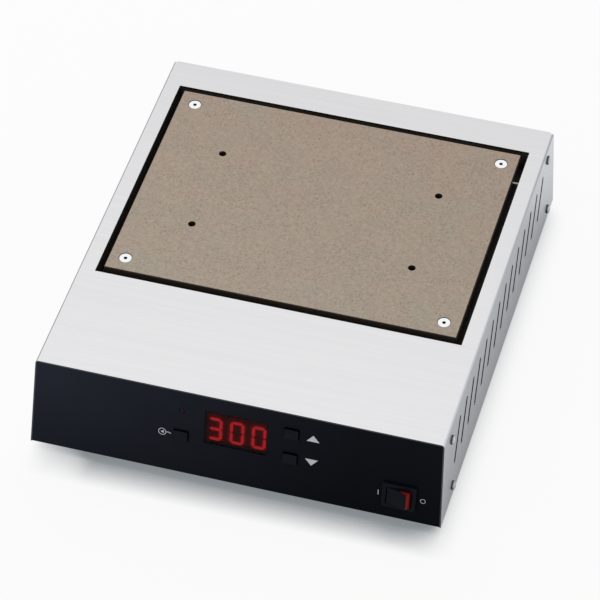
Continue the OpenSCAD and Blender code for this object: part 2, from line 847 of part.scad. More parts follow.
// One bar of a digit, lying along x with pointed ends
module segment(length) {
    half = length / 2;
    point = segment_w / 2;
    polygon([[-half, 0], [-half + point, point], [half - point, point],
        [half, 0], [half - point, -point], [-half + point, -point]]);
}

// The seven bars of a digit in the order top, upper right, lower right, bottom, lower left,
// upper left, middle; draws those whose number is listed
module digit(bars) {
    gap = 0.3;
    across = digit_w - segment_w - gap;
    upright = (digit_h - segment_w) / 2 - gap;
    side = (digit_w - segment_w) / 2;
    level = (digit_h - segment_w) / 2;
    places = [[0, level, 0], [side, level / 2, 90], [side, -level / 2, 90], [0, -level, 0],
        [-side, -level / 2, 90], [-side, level / 2, 90], [0, 0, 0]];
    for (b = bars)
        translate([places[b][0], places[b][1]]) rotate(places[b][2])
            segment(places[b][2] == 0 ? across : upright);
}

// Places one list of bars for each of the three digits on the display's face
module digits(lists) {
    on_panel() translate([0, display_v - digit_drop, face_n]) linear_extrude(segment_t)
        for (i = [0 : 2])
            translate([(i - 1) * digit_pitch, 0]) digit(lists[i]);
}

// Lit bars, showing a set temperature of three hundred degrees
module digits_lit() {
    color("red") digits([[0, 1, 2, 3, 6], [0, 1, 2, 3, 4, 5], [0, 1, 2, 3, 4, 5]]);
}

module digits_dark() {
    color("maroon") digits([[4, 5], [6], [6]]);
}

// Tinted window in front of the display
module display_window() {
    window_t = panel_t - lens_recess;
    color("darkred") on_panel()
        translate([0, display_v, -panel_t]) linear_extrude(window_t)
            square([display_w, display_h], center = true);
}

// Round indicator lamp with a domed end
module status_lamp() {
    lamp_r = lamp_d / 2;
    color("darkred") on_panel() translate([-key_x, key_row_high, 0]) {
        translate([0, 0, -6]) cylinder(r = lamp_r, h = 5.2);
        translate([0, 0, -7]) cylinder(r = lamp_r + 0.5, h = 1);
        intersection() {
            translate([0, 0, -0.8]) sphere(lamp_r);
            translate([0, 0, -0.8]) cylinder(r = lamp_r + 1, h = lamp_r + 1);
        }
    }
}

// Sleeve that holds the lamp at the panel
module lamp_spacer() {
    color("white") on_panel() translate([-key_x, key_row_high, board_n]) difference() {
        cylinder(d = lamp_d + 1, h = -7 - board_n);
        translate([0, 0, -1]) cylinder(d = lamp_d - 0.6, h = -5 - board_n);
    }
}

// Push-button switches on the control board
module tact_switches() {
    color("black") on_panel() for (k = keys)
        translate([k[0], k[1], board_n]) difference() {
            linear_extrude(tact_t) square(tact_w, center = true);
            translate([0, 0, 0.3]) cylinder(d = plunger_d + 2 * run, h = tact_t);
        }
}

// One key: cap, retaining flange behind the panel and stem
module key(place) {
    flange_n = -panel_t - fit - key_flange;
    on_panel() translate(place) {
        translate([0, 0, flange_n + key_flange / 2])
            linear_extrude(key_proud - flange_n - key_flange / 2) rounded_rect(key_w, key_h, 0.8);
        translate([0, 0, flange_n]) linear_extrude(key_flange)
            square([key_w + 2 * key_flange_lap, key_h + 2 * key_flange_lap], center = true);
        translate([0, 0, plunger_top]) cylinder(d = 4, h = flange_n - plunger_top + key_flange / 2);
    }
}

module plunger(place) {
    on_panel() translate([place[0], place[1], board_n + key_travel + 0.5])
        cylinder(d = plunger_d, h = plunger_top - board_n - key_travel - 0.5);
}

module set_key() {
    color("dimgray") key(keys[0]);
}

module up_key() {
    color("dimgray") key(keys[1]);
}

module down_key() {
    color("dimgray") key(keys[2]);
}

module set_plunger() {
    color("white") plunger(keys[0]);
}

module up_plunger() {
    color("white") plunger(keys[1]);
}

module down_plunger() {
    color("white") plunger(keys[2]);
}

// Switch housing: bezel, body with the rocker's cavity, pivot holes and catches
module switch_housing() {
    cavity_w = 2 * rocker_r + 0.8;
    cavity_h = rocker_w + 2 * free;
    cavity_n = pivot_n - rocker_r - 1.5;
    outer_w = bezel_w - 2.4;
    outer_h = bezel_h - 2.2;
    color("black") on_panel() translate([switch_x, switch_v, 0]) difference() {
        union() {
            linear_extrude(bezel_proud) rounded_rect(bezel_w, bezel_h, 1.5);
            translate([0, 0, -switch_depth]) linear_extrude(switch_depth + bezel_proud / 2)
                square([outer_w, outer_h], center = true);
            for (side = [-1, 1])
                translate([side * (outer_w / 2 - 0.5), 4, 0]) rotate([90, 0, 0]) linear_extrude(8)
                    polygon([
                        [0, -panel_t - fit], [side * 1.5, -panel_t - fit],
                        [side * 0.5, -panel_t - 5], [0, -panel_t - 5]
                    ]);
        }
        translate([0, 0, cavity_n]) linear_extrude(bezel_proud - cavity_n + 1)
            square([cavity_w, cavity_h], center = true);
        translate([0, bezel_h, pivot_n]) rotate([90, 0, 0])
            cylinder(d = pivot_d + 2 * run, h = 2 * bezel_h);
    }
}

// Spade terminals at the back of the switch
module switch_tabs() {
    color("gold") on_panel() translate([switch_x, switch_v, -switch_depth - spade_len])
        for (x = [-1, 1], v = [-1, 1])
            translate([x * bezel_w * 0.2 - spade_t / 2, v * bezel_h * 0.22 - spade_w / 2, 0])
                cube([spade_t, spade_w, spade_len]);
}

// Side outline of the rocker about its pivot: a disc cut by two shallow faces
module rocker_outline(drop) {
    left = [-rocker_r * cos(rocker_low), rocker_r * sin(rocker_low) - drop];
    right = [rocker_r * cos(rocker_high), rocker_r * sin(rocker_high) - drop];
    lean = rocker_throw / 2;
    middle = (left + right) / 2 + rocker_valley * [sin(lean), -cos(lean)];
    intersection() {
        circle(rocker_r);
        polygon([
            [-2 * rocker_r, left[1]], left, middle, right, [2 * rocker_r, right[1]],
            [2 * rocker_r, -rocker_r * 0.6], [-2 * rocker_r, -rocker_r * 0.6]
        ]);
    }
}

// The part of the rocker's outline that shows red while the switch is on
module flag_outline() {
    intersection() {
        rocker_outline(rocker_skin);
        translate([rocker_r * 0.12, -1.5]) square([2 * rocker_r, 2 * rocker_r]);
    }
}

// Places an outline across the rocker's width
module across_rocker() {
    on_panel() translate([switch_x, switch_v + rocker_w / 2, pivot_n])
        rotate([90, 0, 0]) linear_extrude(rocker_w) children();
}

// Rocker with its pivot pins, shown switched on
module rocker() {
    pin = 1.3;
    color("black") {
        across_rocker() difference() {
            rocker_outline(0);
            flag_outline();
        }
        on_panel() for (side = [-1, 1])
            translate([switch_x, switch_v + side * (rocker_w / 2 + pin / 2 - 0.1), pivot_n])
                rotate([90, 0, 0]) cylinder(d = pivot_d, h = pin + 0.2, center = true);
    }
}

// Red insert under the raised end of the rocker
module rocker_flag() {
    color("red") across_rocker() flag_outline();
}

// Mains and control electronics on the floor
module power_board() {
    color("darkgreen") translate([power_x, power_y, z_power]) difference() {
        linear_extrude(board_t) square([power_w, power_d], center = true);
        for (x = [-1, 1], y = [-1, 1])
            translate([x * power_post_x, y * power_post_y, -1])
                cylinder(d = base_screw_d + 2 * hole_gap, h = board_t + 2);
    }
}

module power_posts() {
    color("gainsboro") for (x = [-1, 1], y = [-1, 1])
        translate([power_x + x * power_post_x, power_y + y * power_post_y, z_floor]) difference() {
            hex_bar(small_post_af, power_post_h);
            translate([0, 0, -1]) cylinder(d = base_screw_d + 2 * run, h = power_post_h + 2);
        }
}

// Screws that go through the base plate, the posts and the power board from below
module power_screws() {
    reach = base_t + power_post_h + board_t + 1.5;
    color("gainsboro") for (x = [-1, 1], y = [-1, 1])
        translate([power_x + x * power_post_x, power_y + y * power_post_y, z_base])
            rotate([180, 0, 0])
                pan_screw(base_screw_d, small_head_d, small_head_h, reach);
}

// Laminated core with two windows, standing on the power board
module transformer_core() {
    color("slategray") translate([core_x, power_y, z_power_top + core_lift]) difference() {
        translate([-core_w / 2, -core_d / 2, 0]) cube([core_w, core_d, core_h]);
        for (side = [-1, 1])
            translate([(side * 1.5 - 0.5) * core_leg, -core_d / 2 - 1, core_leg])
                cube([core_leg, core_d + 2, core_h - 2 * core_leg]);
    }
}

// Winding around the middle leg of the core
module transformer_coil() {
    bore_w = 2 * (core_leg + fit);
    bore_d = core_d + 2 * fit;
    color("peru") translate([core_x, power_y, z_power_top]) difference() {
        union() {
            translate([-coil_w / 2, -coil_d / 2, coil_z]) cube([coil_w, coil_d, coil_h]);
            for (side = [-1, 1])
                translate([-coil_foot_w / 2, side * (coil_d - coil_foot_d) / 2 - coil_foot_d / 2, 0])
                    cube([coil_foot_w, coil_foot_d, coil_z + 2]);
        }
        translate([-bore_w / 2, -bore_d / 2, 3]) cube([bore_w, bore_d, core_h + 6]);
    }
}

// Finned heat sink for the triac
module heat_sink() {
    fin_pitch = (sink_w - fin_t - 2) / (fin_count - 1);
    color("silver") translate([sink_x, sink_y, z_power_top]) {
        translate([-sink_w / 2, -sink_t / 2, 0]) cube([sink_w, sink_t, sink_h]);
        for (i = [0 : fin_count - 1])
            translate([1 - sink_w / 2 + i * fin_pitch, sink_t / 2 - 1, 0]) cube([fin_t, fin_d + 1, sink_h]);
    }
}

// Triac bolted to the flat side of the heat sink
module triac() {
    color("black") translate([sink_x, sink_y - sink_t / 2 - triac_t, z_power_top]) {
        translate([-triac_w / 2, 0, triac_lift]) cube([triac_w, triac_t, triac_h]);
        for (leg = [-1 : 1])
            translate([leg * triac_leg_pitch - triac_leg_w / 2, triac_t / 3, 0])
                cube([triac_leg_w, triac_leg_w * 0.75, triac_lift]);
    }
}

// Glass fuse lying in its clips
module fuse() {
    color("gainsboro") translate([fuse_x, power_y - fuse_len / 2, z_power_top + fuse_lift])
        rotate([-90, 0, 0]) cylinder(d = fuse_d, h = fuse_len);
}

module fuse_clips() {
    color("gold") for (end = [-1, 1])
        translate([fuse_x, power_y + end * (fuse_len / 2 - clip_inset), z_power_top]) difference() {
            translate([-clip_w / 2, -clip_t / 2, 0]) cube([clip_w, clip_t, fuse_lift + 1]);
            translate([0, -clip_t, fuse_lift])
                rotate([-90, 0, 0]) cylinder(d = fuse_d + 2 * run, h = 2 * clip_t);
        }
}

// Screw terminals for the heater, mains and probe wires
module terminal_block() {
    length = terminal_count * terminal_pitch;
    color("seagreen") translate([terminal_x, power_y - length / 2, z_power_top]) difference() {
        cube([terminal_w, length, terminal_h]);
        for (i = [0 : terminal_count - 1])
            translate([terminal_w / 2, (i + 0.5) * terminal_pitch, 0]) {
                translate([0, 0, terminal_h * 0.45]) cylinder(d = terminal_screw_d, h = terminal_h);
                translate([0.5, -terminal_screw_d / 2, 1.5])
                    cube([terminal_w, terminal_screw_d, terminal_h * 0.28]);
            }
    }
}

// Outline of the mains inlet's opening: a rectangle with two corners cut off
module inlet_outline() {
    x = mouth_w / 2;
    y = mouth_h / 2;
    polygon([[-x, -y], [x, -y], [x, y - mouth_cut], [x - mouth_cut, y],
        [mouth_cut - x, y], [-x, y - mouth_cut]]);
}

// Mains inlet: flange outside the rear panel, body inside
module mains_inlet() {
    color("black") on_rear(inlet_x, inlet_z) difference() {
        union() {
            linear_extrude(inlet_flange_t) rounded_rect(inlet_flange_w, inlet_flange_h, 4);
            translate([0, 0, -inlet_depth]) linear_extrude(inlet_depth + inlet_flange_t / 2)
                square([inlet_w, inlet_h], center = true);
        }
        translate([0, 0, inlet_flange_t - inlet_cavity]) linear_extrude(inlet_cavity + 1)
            inlet_outline();
        for (b = blades)
            translate([b[0], b[1], -inlet_depth - 1]) linear_extrude(inlet_depth)
                square([blade_w + 2 * run, blade_h + 2 * run], center = true);
        for (side = [-1, 1])
            translate([side * inlet_screw_pitch / 2, 0, 0]) {
                translate([0, 0, -1]) cylinder(d = inlet_screw_d + 2 * hole_gap, h = inlet_flange_t + 2);
                translate([0, 0, inlet_flange_t - inlet_screw_d])
                    cylinder(r1 = 0, r2 = inlet_screw_d, h = inlet_screw_d);
            }
    }
}

// Contact blades, from inside the inlet to the wiring behind it
module inlet_blades() {
    color("gold") on_rear(inlet_x, inlet_z) for (b = blades)
        translate([b[0], b[1], -inlet_depth - 8]) linear_extrude(inlet_depth + 6.5)
            square([blade_w, blade_h], center = true);
}

module inlet_screws() {
    head_h = 1.25;
    color("gainsboro") on_rear(inlet_x, inlet_z) for (side = [-1, 1])
        translate([side * inlet_screw_pitch / 2, 0, 0]) difference() {
            union() {
                translate([0, 0, inlet_flange_t - head_h - 0.25])
                    cylinder(r1 = inlet_screw_d / 2, r2 = inlet_screw_d / 2 + head_h, h = head_h);
                translate([0, 0, -flange_t - small_nut_h - 1.6])
                    cylinder(d = inlet_screw_d, h = inlet_flange_t + flange_t + small_nut_h + 0.2);
            }
            translate([0, 0, inlet_flange_t - 1.2]) hex_bar(1.8, 2);
        }
}

module inlet_nuts() {
    color("gainsboro") on_rear(inlet_x, inlet_z) for (side = [-1, 1])
        translate([side * inlet_screw_pitch / 2, 0, -flange_t - small_nut_h])
            hex_nut(inlet_screw_d, small_nut_af, small_nut_h);
}

// Modular socket for the remote line
module remote_socket() {
    color("black") on_rear(-remote_x, inlet_z) difference() {
        union() {
            linear_extrude(socket_flange) rounded_rect(socket_w + 3, socket_h + 3, 1);
            translate([0, 0, -socket_depth]) linear_extrude(socket_depth + socket_flange / 2)
                square([socket_w, socket_h], center = true);
        }
        translate([0, -0.8, -socket_depth + 3]) linear_extrude(socket_depth) {
            square([socket_mouth_w, socket_mouth_h], center = true);
            translate([0, socket_mouth_h / 2])
                square([socket_latch_w, 2 * socket_latch_h], center = true);
        }
    }
}

// Threaded stud for the protective earth, held by two nuts on the base plate
module earth_stud() {
    color("goldenrod") translate([earth_x, earth_y, z_base - large_nut_h - 0.2])
        cylinder(d = foot_screw_d, h = base_t + 17);
}

module earth_nuts() {
    color("goldenrod") translate([earth_x, earth_y, 0]) {
        translate([0, 0, z_base - large_nut_h]) hex_nut(foot_screw_d, large_nut_af, large_nut_h);
        translate([0, 0, z_floor]) hex_nut(foot_screw_d, large_nut_af, large_nut_h);
    }
}

top_cover();
base_plate();
front_panel();
rear_panel();
cover_screws();
base_screws();
feet();
foot_screws();
foot_nuts();
heating_plate();
plate_screws();
heater_mat();
insulation_board();
heat_tray();
ceramic_spacers();
tray_posts();
post_screws();
temperature_probe();
thermal_cutout();
control_board();
board_posts();
board_screws();
display_block();
digits_lit();
digits_dark();
display_window();
status_lamp();
lamp_spacer();
tact_switches();
set_key();
up_key();
down_key();
set_plunger();
up_plunger();
down_plunger();
switch_housing();
switch_tabs();
rocker();
rocker_flag();
power_board();
power_posts();
power_screws();
transformer_core();
transformer_coil();
heat_sink();
triac();
fuse();
fuse_clips();
terminal_block();
mains_inlet();
inlet_blades();
inlet_screws();
inlet_nuts();
remote_socket();
earth_stud();
earth_nuts();
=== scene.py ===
# %% [markdown]
# # A bench preheater for circuit boards
# The solids of the preheater are modelled elsewhere and packed as one fixed frame. This lesson loads
# them, sets up a small studio, gives every solid the finish of its real material, and makes again the few
# pieces whose small shapes matter to the eye. Everything is in metres and in the frame of the solids, so
# nothing needs fitting. Sizes on the object are named in millimetres, and MM turns them into metres.

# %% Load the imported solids
import json
import math

import bmesh
import bpy
from mathutils import Matrix, Vector
from mathutils.bvhtree import BVHTree

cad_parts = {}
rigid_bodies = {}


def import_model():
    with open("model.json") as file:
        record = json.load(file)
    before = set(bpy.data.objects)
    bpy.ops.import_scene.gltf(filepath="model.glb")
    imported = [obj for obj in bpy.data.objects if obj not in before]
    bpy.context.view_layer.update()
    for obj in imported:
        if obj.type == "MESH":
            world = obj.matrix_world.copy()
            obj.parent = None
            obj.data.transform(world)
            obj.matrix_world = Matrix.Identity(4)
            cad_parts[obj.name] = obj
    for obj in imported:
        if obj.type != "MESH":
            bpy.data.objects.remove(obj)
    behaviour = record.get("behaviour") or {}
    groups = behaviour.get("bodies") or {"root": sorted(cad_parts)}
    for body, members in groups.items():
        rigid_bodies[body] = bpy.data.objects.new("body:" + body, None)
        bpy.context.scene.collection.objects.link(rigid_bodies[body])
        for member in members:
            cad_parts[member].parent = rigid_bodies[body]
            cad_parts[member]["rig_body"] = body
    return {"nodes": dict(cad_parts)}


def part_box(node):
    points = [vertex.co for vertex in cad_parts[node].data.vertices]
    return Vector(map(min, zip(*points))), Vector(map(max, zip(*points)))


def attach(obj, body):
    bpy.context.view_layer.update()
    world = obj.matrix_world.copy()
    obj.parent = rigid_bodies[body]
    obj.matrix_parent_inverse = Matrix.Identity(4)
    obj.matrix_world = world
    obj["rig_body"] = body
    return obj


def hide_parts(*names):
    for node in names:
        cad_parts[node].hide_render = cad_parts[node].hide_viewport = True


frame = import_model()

MM = 0.001
nodes = frame["nodes"]
scene = bpy.context.scene
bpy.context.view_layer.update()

# %% [markdown]
# ## Camera
# A product picture like this one is taken from far away with a long lens, so that the housing's edges
# stay nearly parallel. The place below comes from the corners of the housing: their real sizes and their
# pixels give one distance, one direction and one focal length. A guess by eye would have to be corrected
# at every later step.

# %% Camera from the housing's corners
PICTURE_PIXELS = 600
FOCAL_PIXELS = 3629.2
SENSOR = 36.0
AZIMUTH = math.radians(15.925)
ELEVATION = math.radians(45.419)
EYE = Vector((501.7, -1758.113, 1879.44)) * MM

lens = bpy.data.cameras.new("camera")
lens.sensor_width = SENSOR
lens.lens = SENSOR * FOCAL_PIXELS / PICTURE_PIXELS
level = math.cos(ELEVATION)
sight = Vector((-math.sin(AZIMUTH) * level, math.cos(AZIMUTH) * level, -math.sin(ELEVATION)))
camera = bpy.data.objects.new("camera", lens)
camera.location = EYE
camera.rotation_euler = sight.to_track_quat("-Z", "Y").to_euler()
scene.collection.objects.link(camera)
scene.camera = camera
print("lens", round(lens.lens, 1), "mm, distance", round(EYE.length, 2), "m")

# %% [markdown]
# ## Colours and nodes
# Colours are easiest to name as the hex values seen on a screen, but Blender calculates with linear
# light, so one function converts them. Materials are made of nodes, and one function adds a node with its
# settings and links. Most patterns below let a number or a colour follow some value, so a third function
# does that.

# %% Small tools
def linear(code):
    """Turns a hex colour, as seen on a screen, into the linear colour that Blender's sockets hold."""
    seen = [int(code[i:i + 2], 16) / 255 for i in (0, 2, 4)]
    return [c / 12.92 if c <= 0.04045 else ((c + 0.055) / 1.055) ** 2.4 for c in seen] + [1.0]


def fill(tree, node, inputs):
    """Sets a node's inputs, each from a plain value or from another node's output."""
    for key, value in inputs.items():
        if isinstance(value, bpy.types.NodeSocket):
            tree.links.new(value, node.inputs[key])
        else:
            node.inputs[key].default_value = value


def add(tree, kind, inputs=None, **settings):
    """Adds a node with its settings and links."""
    node = tree.nodes.new(kind)
    for name, value in settings.items():
        setattr(node, name, value)
    fill(tree, node, inputs or {})
    return node


def along(tree, value, low, high, start=0.0, end=1.0):
    """Goes from a low to a high number while a value goes from start to end, or mixes two colours by it."""
    if isinstance(low, (int, float)):
        return add(tree, "ShaderNodeMapRange", {"Value": value, "From Min": start, "From Max": end,
                                                "To Min": low, "To Max": high}).outputs["Result"]
    return add(tree, "ShaderNodeMix", {0: value, 6: low, 7: high}, data_type="RGBA").outputs[2]


print("mid grey in linear light:", [round(c, 3) for c in linear("808080")])

# %% [markdown]
# ## Studio
# The real picture has a white ground that runs into a white background, with a soft shadow close to the
# housing. A white sheet under soft lamps gives that. Rays that come straight from the camera, or by way
# of a mirror or glass, see a sheet that glows white and a white sky. Rays that light the object see only
# the lamps and a dim sky, so the background is white without more light on the object. The glow fades
# where the housing hides the light from the sheet: an Ambient Occlusion node that looks towards the lamp
# measures that, and so the shadow stays. It looks outward at both ends of the housing, where the shadow
# fans out. Mirrors see a second, wider shadow, because a steel wall shows the ground for some way from
# its foot.

# %% Shadow on the sheet
SHADOW_REACH = 26.0
SHADOW_CORE = 0.46
LAMP_BACK = 0.6
LAMP_UP = 0.62
LEFT_FAN = 3.4
LEFT_FAN_FROM, LEFT_FAN_TO = -140.0, -100.0
RIGHT_FAN = 1.0
RIGHT_FAN_FROM, RIGHT_FAN_TO = 110.0, 170.0
MIRROR_REACH = 110.0
MIRROR_DEPTH = 1.5


def seen_directly(tree):
    """One for rays from the camera, a mirror or glass, and zero for rays that only carry light."""
    path = add(tree, "ShaderNodeLightPath").outputs
    mirrored = add(tree, "ShaderNodeMath", {0: path["Is Glossy Ray"], 1: path["Is Transmission Ray"]},
                   operation="MAXIMUM").outputs[0]
    return add(tree, "ShaderNodeMath", {0: path["Is Camera Ray"], 1: mirrored},
               operation="MAXIMUM").outputs[0]


paper = bpy.data.materials.new("white_paper_sheet")
paper.use_nodes = True
tree = paper.node_tree
tree.nodes.remove(tree.nodes["Principled BSDF"])
place = add(tree, "ShaderNodeTexCoord").outputs["Object"]
beside = add(tree, "ShaderNodeSeparateXYZ", {0: place}).outputs["X"]
leftward = along(tree, beside, -LEFT_FAN, 0.0, LEFT_FAN_FROM * MM, LEFT_FAN_TO * MM)
rightward = along(tree, beside, 0.0, RIGHT_FAN, RIGHT_FAN_FROM * MM, RIGHT_FAN_TO * MM)
outward = add(tree, "ShaderNodeMath", {0: leftward, 1: rightward}, operation="ADD").outputs[0]
to_lamp = add(tree, "ShaderNodeCombineXYZ", {"X": outward, "Y": LAMP_BACK, "Z": LAMP_UP}).outputs[0]
open_sky = add(tree, "ShaderNodeAmbientOcclusion", {"Distance": SHADOW_REACH * MM, "Normal": to_lamp},
               samples=16).outputs["AO"]
open_sky = along(tree, open_sky, 0.0, 1.0, SHADOW_CORE)
tint = along(tree, open_sky, linear("878c90"), linear("fdfdfd"))
wide_sky = add(tree, "ShaderNodeAmbientOcclusion", {"Distance": MIRROR_REACH * MM}, samples=8).outputs["AO"]
wide_sky = add(tree, "ShaderNodeMath", {0: wide_sky, 1: MIRROR_DEPTH}, operation="POWER").outputs[0]
in_mirror = add(tree, "ShaderNodeLightPath").outputs["Is Glossy Ray"]
tint = along(tree, in_mirror, tint, wide_sky)
print("shadow reaches", SHADOW_REACH, "mm")

# %% White paper sheet
SHEET_HALF = 8.0
SHEET_GLOW = 0.93
glow = add(tree, "ShaderNodeEmission", {"Color": tint}).outputs[0]
matt = add(tree, "ShaderNodeBsdfDiffuse", {"Color": linear("f6f6f7")}).outputs[0]
share = along(tree, seen_directly(tree), 0.0, SHEET_GLOW)
paper_look = add(tree, "ShaderNodeMixShader", {0: share, 1: matt, 2: glow}).outputs[0]
fill(tree, tree.nodes["Material Output"], {"Surface": paper_look})

sheet_mesh = bpy.data.meshes.new("paper_sheet")
corners = [(x * SHEET_HALF, y * SHEET_HALF, 0.0) for x, y in ((-1, -1), (1, -1), (1, 1), (-1, 1))]
sheet_mesh.from_pydata(corners, [], [(0, 1, 2, 3)])
sheet_mesh.materials.append(paper)
sheet = bpy.data.objects.new("paper_sheet", sheet_mesh)
scene.collection.objects.link(sheet)
print("sheet", 2 * SHEET_HALF, "m wide")

# %% White sky and soft lamps
SKY_LIGHT = 0.42
scene.view_settings.view_transform = "Standard"
scene.world = bpy.data.worlds.new("white_studio")
scene.world.use_nodes = True
tree = scene.world.node_tree
sky = along(tree, seen_directly(tree), SKY_LIGHT, 1.0)
fill(tree, tree.nodes["Background"], {"Color": linear("ffffff"), "Strength": sky})

for name, place, size, watts in (("back_softbox", (-0.5, 1.5, 1.7), 1.6, 26.0),
                                 ("front_softbox", (-1.2, -0.9, 1.6), 1.2, 9.0)):
    lamp = bpy.data.lights.new(name, "AREA")
    lamp.size = size
    lamp.energy = watts
    softbox = bpy.data.objects.new(name, lamp)
    softbox.location = place
    softbox.rotation_euler = (-Vector(place)).to_track_quat("-Z", "Y").to_euler()
    softbox.visible_glossy = False
    scene.collection.objects.link(softbox)
    print(name, watts, "W")

# %% [markdown]
# ## How a finish is built
# Each finish starts as one shader. Its patterns read the place on the object, in millimetres, so a
# pattern has the same real size on every solid. Two helpers do most of the work: one gives noise with
# grains of a given size, and one gives the shader a colour and lets roughness and relief follow a
# pattern.

# %% Starting a finish
def finish(name, settings):
    """Starts a finish and gives its material, node tree and shader, and the place on the surface in mm."""
    material = bpy.data.materials.new(name)
    material.use_nodes = True
    tree = material.node_tree
    shader = tree.nodes["Principled BSDF"]
    fill(tree, shader, settings)
    place = add(tree, "ShaderNodeTexCoord").outputs["Object"]
    point = add(tree, "ShaderNodeVectorMath", {0: place, "Scale": 1 / MM}, operation="SCALE").outputs[0]
    return material, tree, shader, point


def grains(tree, point, size, detail=2.0, spread=0.5):
    """Noise from 0 to 1 with grains of this size in mm, given once or for each axis."""
    sizes = size if isinstance(size, tuple) else (size, size, size)
    scaled = add(tree, "ShaderNodeVectorMath", {0: point, 1: sizes}, operation="DIVIDE").outputs[0]
    noise = add(tree, "ShaderNodeTexNoise", {"Vector": scaled, "Scale": 1.0, "Detail": detail})
    return along(tree, noise.outputs["Fac"], 0.0, 1.0, 0.5 - spread / 2, 0.5 + spread / 2)


def skin(tree, shader, colour, pattern, smooth, rough, depth=0.0, heights=None):
    """Sets a colour, a roughness that follows a pattern, and a relief of this depth in mm.

    The relief follows the same pattern unless other heights are given.
    """
    fill(tree, shader, {"Base Color": colour, "Roughness": along(tree, pattern, smooth, rough)})
    if depth:
        heights = pattern if heights is None else heights
        bump = add(tree, "ShaderNodeBump", {"Height": heights, "Distance": depth * MM, "Strength": 1.0})
        fill(tree, shader, {"Normal": bump.outputs["Normal"]})


print("finish helpers ready")

# %% [markdown]
# ## Brushed stainless steel
# The cover is one sheet of stainless steel, brushed before it was folded. A belt leaves fine parallel
# scratches, so the metal is bright but never mirrors sharply. The scratches run across the top and down
# the sides, because the sheet turns with the bend. Both have their fine spacing along the housing's
# depth, so one stretched noise serves all of them. Real scratches are far under 0.1 mm, and they are
# drawn at 0.4 mm so that they show.

# %% Scratches
SCRATCH_SPACING = 0.4
SCRATCH_LENGTH = 45.0
stainless, tree, shader, point = finish("brushed_stainless_steel", {"Metallic": 1.0})
fine = grains(tree, point, (SCRATCH_LENGTH, SCRATCH_SPACING, SCRATCH_LENGTH), 3.0)
broad = grains(tree, point, (4 * SCRATCH_LENGTH, 6 * SCRATCH_SPACING, 4 * SCRATCH_LENGTH))
both = add(tree, "ShaderNodeMath", {0: fine, 1: broad}, operation="ADD").outputs[0]
streak = add(tree, "ShaderNodeMath", {0: both, 1: 0.5}, operation="MULTIPLY").outputs[0]
print("stainless: scratches every", SCRATCH_SPACING, "mm")

# %% [markdown]
# The folded sheet isn't one even grey. The walls are painted a little darker and cooler than the top, as
# painted shade. The front edge and the bends are painted darker than the flat faces beside them: painted
# shade, and on the bends a painted reflection of a darker room. Faces that a punch has cut, such as the
# flanks of the slots, are dark, partly from the rough cut and partly as painted shade deep in the slots:
# they lie in the walls and lean between the upright and the level. These places could be painted by hand,
# but the way a face looks already tells them apart.

# %% Telling faces apart
BEYOND = 1.1  # more than any part of a normal


def sides(tree):
    """How far a face looks to each side, as numbers from 0 to 1 along X, Y and Z."""
    facing = add(tree, "ShaderNodeNewGeometry").outputs["True Normal"]
    facing = add(tree, "ShaderNodeVectorMath", {0: facing}, operation="ABSOLUTE").outputs[0]
    return add(tree, "ShaderNodeSeparateXYZ", {0: facing}).outputs


def between(tree, value, low, high):
    """One where a value lies between two limits, and zero elsewhere."""
    middle, reach = (low + high) / 2, (high - low) / 2
    return add(tree, "ShaderNodeMath", {0: value, 1: middle, 2: reach}, operation="COMPARE").outputs[0]


side = sides(tree)
looks = add(tree, "ShaderNodeNewGeometry").outputs["True Normal"]
looks = add(tree, "ShaderNodeSeparateXYZ", {0: looks}).outputs
spot = add(tree, "ShaderNodeSeparateXYZ", {0: point}).outputs
print("cover tree with", len(tree.nodes), "nodes so far")

# %% Parts of the cover
# Looks are parts of a face's normal, and the wall's limits are distances from the middle in mm.
FRONT_LOOK = -0.96
LEFT_LOOK = (-0.99, -0.48)
RIGHT_LOOK = (0.45, 0.85)
FLAT_WALL_LOOK = 0.996
WALL_LOOK = (0.3, 0.98)
SLOT_LOOK = (0.5, 0.96)
WALL_INSIDE, WALL_OUTSIDE = 143.2, 160.0
front_edge = between(tree, looks["Y"], -BEYOND, FRONT_LOOK)
left_bend = between(tree, looks["X"], *LEFT_LOOK)
rounding = along(tree, looks["X"], 0.0, 1.0, *RIGHT_LOOK)
before_wall = between(tree, looks["X"], -BEYOND, FLAT_WALL_LOOK)
right_bend = add(tree, "ShaderNodeMath", {0: rounding, 1: before_wall}, operation="MULTIPLY").outputs[0]
wall = along(tree, side["X"], 0.0, 1.0, *WALL_LOOK)
slanted = between(tree, side["Y"], *SLOT_LOOK)
across = add(tree, "ShaderNodeMath", {0: spot["X"]}, operation="ABSOLUTE").outputs[0]
in_wall = between(tree, across, WALL_INSIDE, WALL_OUTSIDE)
cut_and_shaded = add(tree, "ShaderNodeMath", {0: slanted, 1: in_wall}, operation="MULTIPLY").outputs[0]
print("slots looked for from", WALL_INSIDE, "mm outward")

# %% Cover finish
COVER_FRONT, COVER_REAR = -165.0, 165.0
# The top is painted lighter at the front than at the rear: painted light. The same gradient darkens the
# right bend towards the rear.
to_rear = along(tree, spot["Y"], 0.0, 1.0, COVER_FRONT, COVER_REAR)
shaded = along(tree, to_rear, linear("e2e2e4"), linear("d7d7d9"))
bright = along(tree, to_rear, linear("eaeaeb"), linear("dfdfe0"))
steel = along(tree, streak, shaded, bright)
# The walls are painted a little darker and cooler than the top: painted shade.
steel = along(tree, wall, steel, along(tree, streak, linear("c8cbd2"), linear("d3d6dc")))
# Painted shade on the sheet's front edge, and a painted reflection of a darker room on the left bend.
steel = along(tree, front_edge, steel, linear("45474b"))
steel = along(tree, left_bend, steel, linear("64666c"))
# The right bend is painted darker towards the rear: painted reflection.
steel = along(tree, right_bend, steel, along(tree, to_rear, linear("c6c9d0"), linear("9c9ea4")))
# The slot flanks are dark, partly from their rough cut and partly from painted shade deep in the slots.
steel = along(tree, cut_and_shaded, steel, linear("222428"))
skin(tree, shader, steel, streak, 0.26, 0.36, 0.002, fine)
print("cover finish with", len(tree.nodes), "nodes")
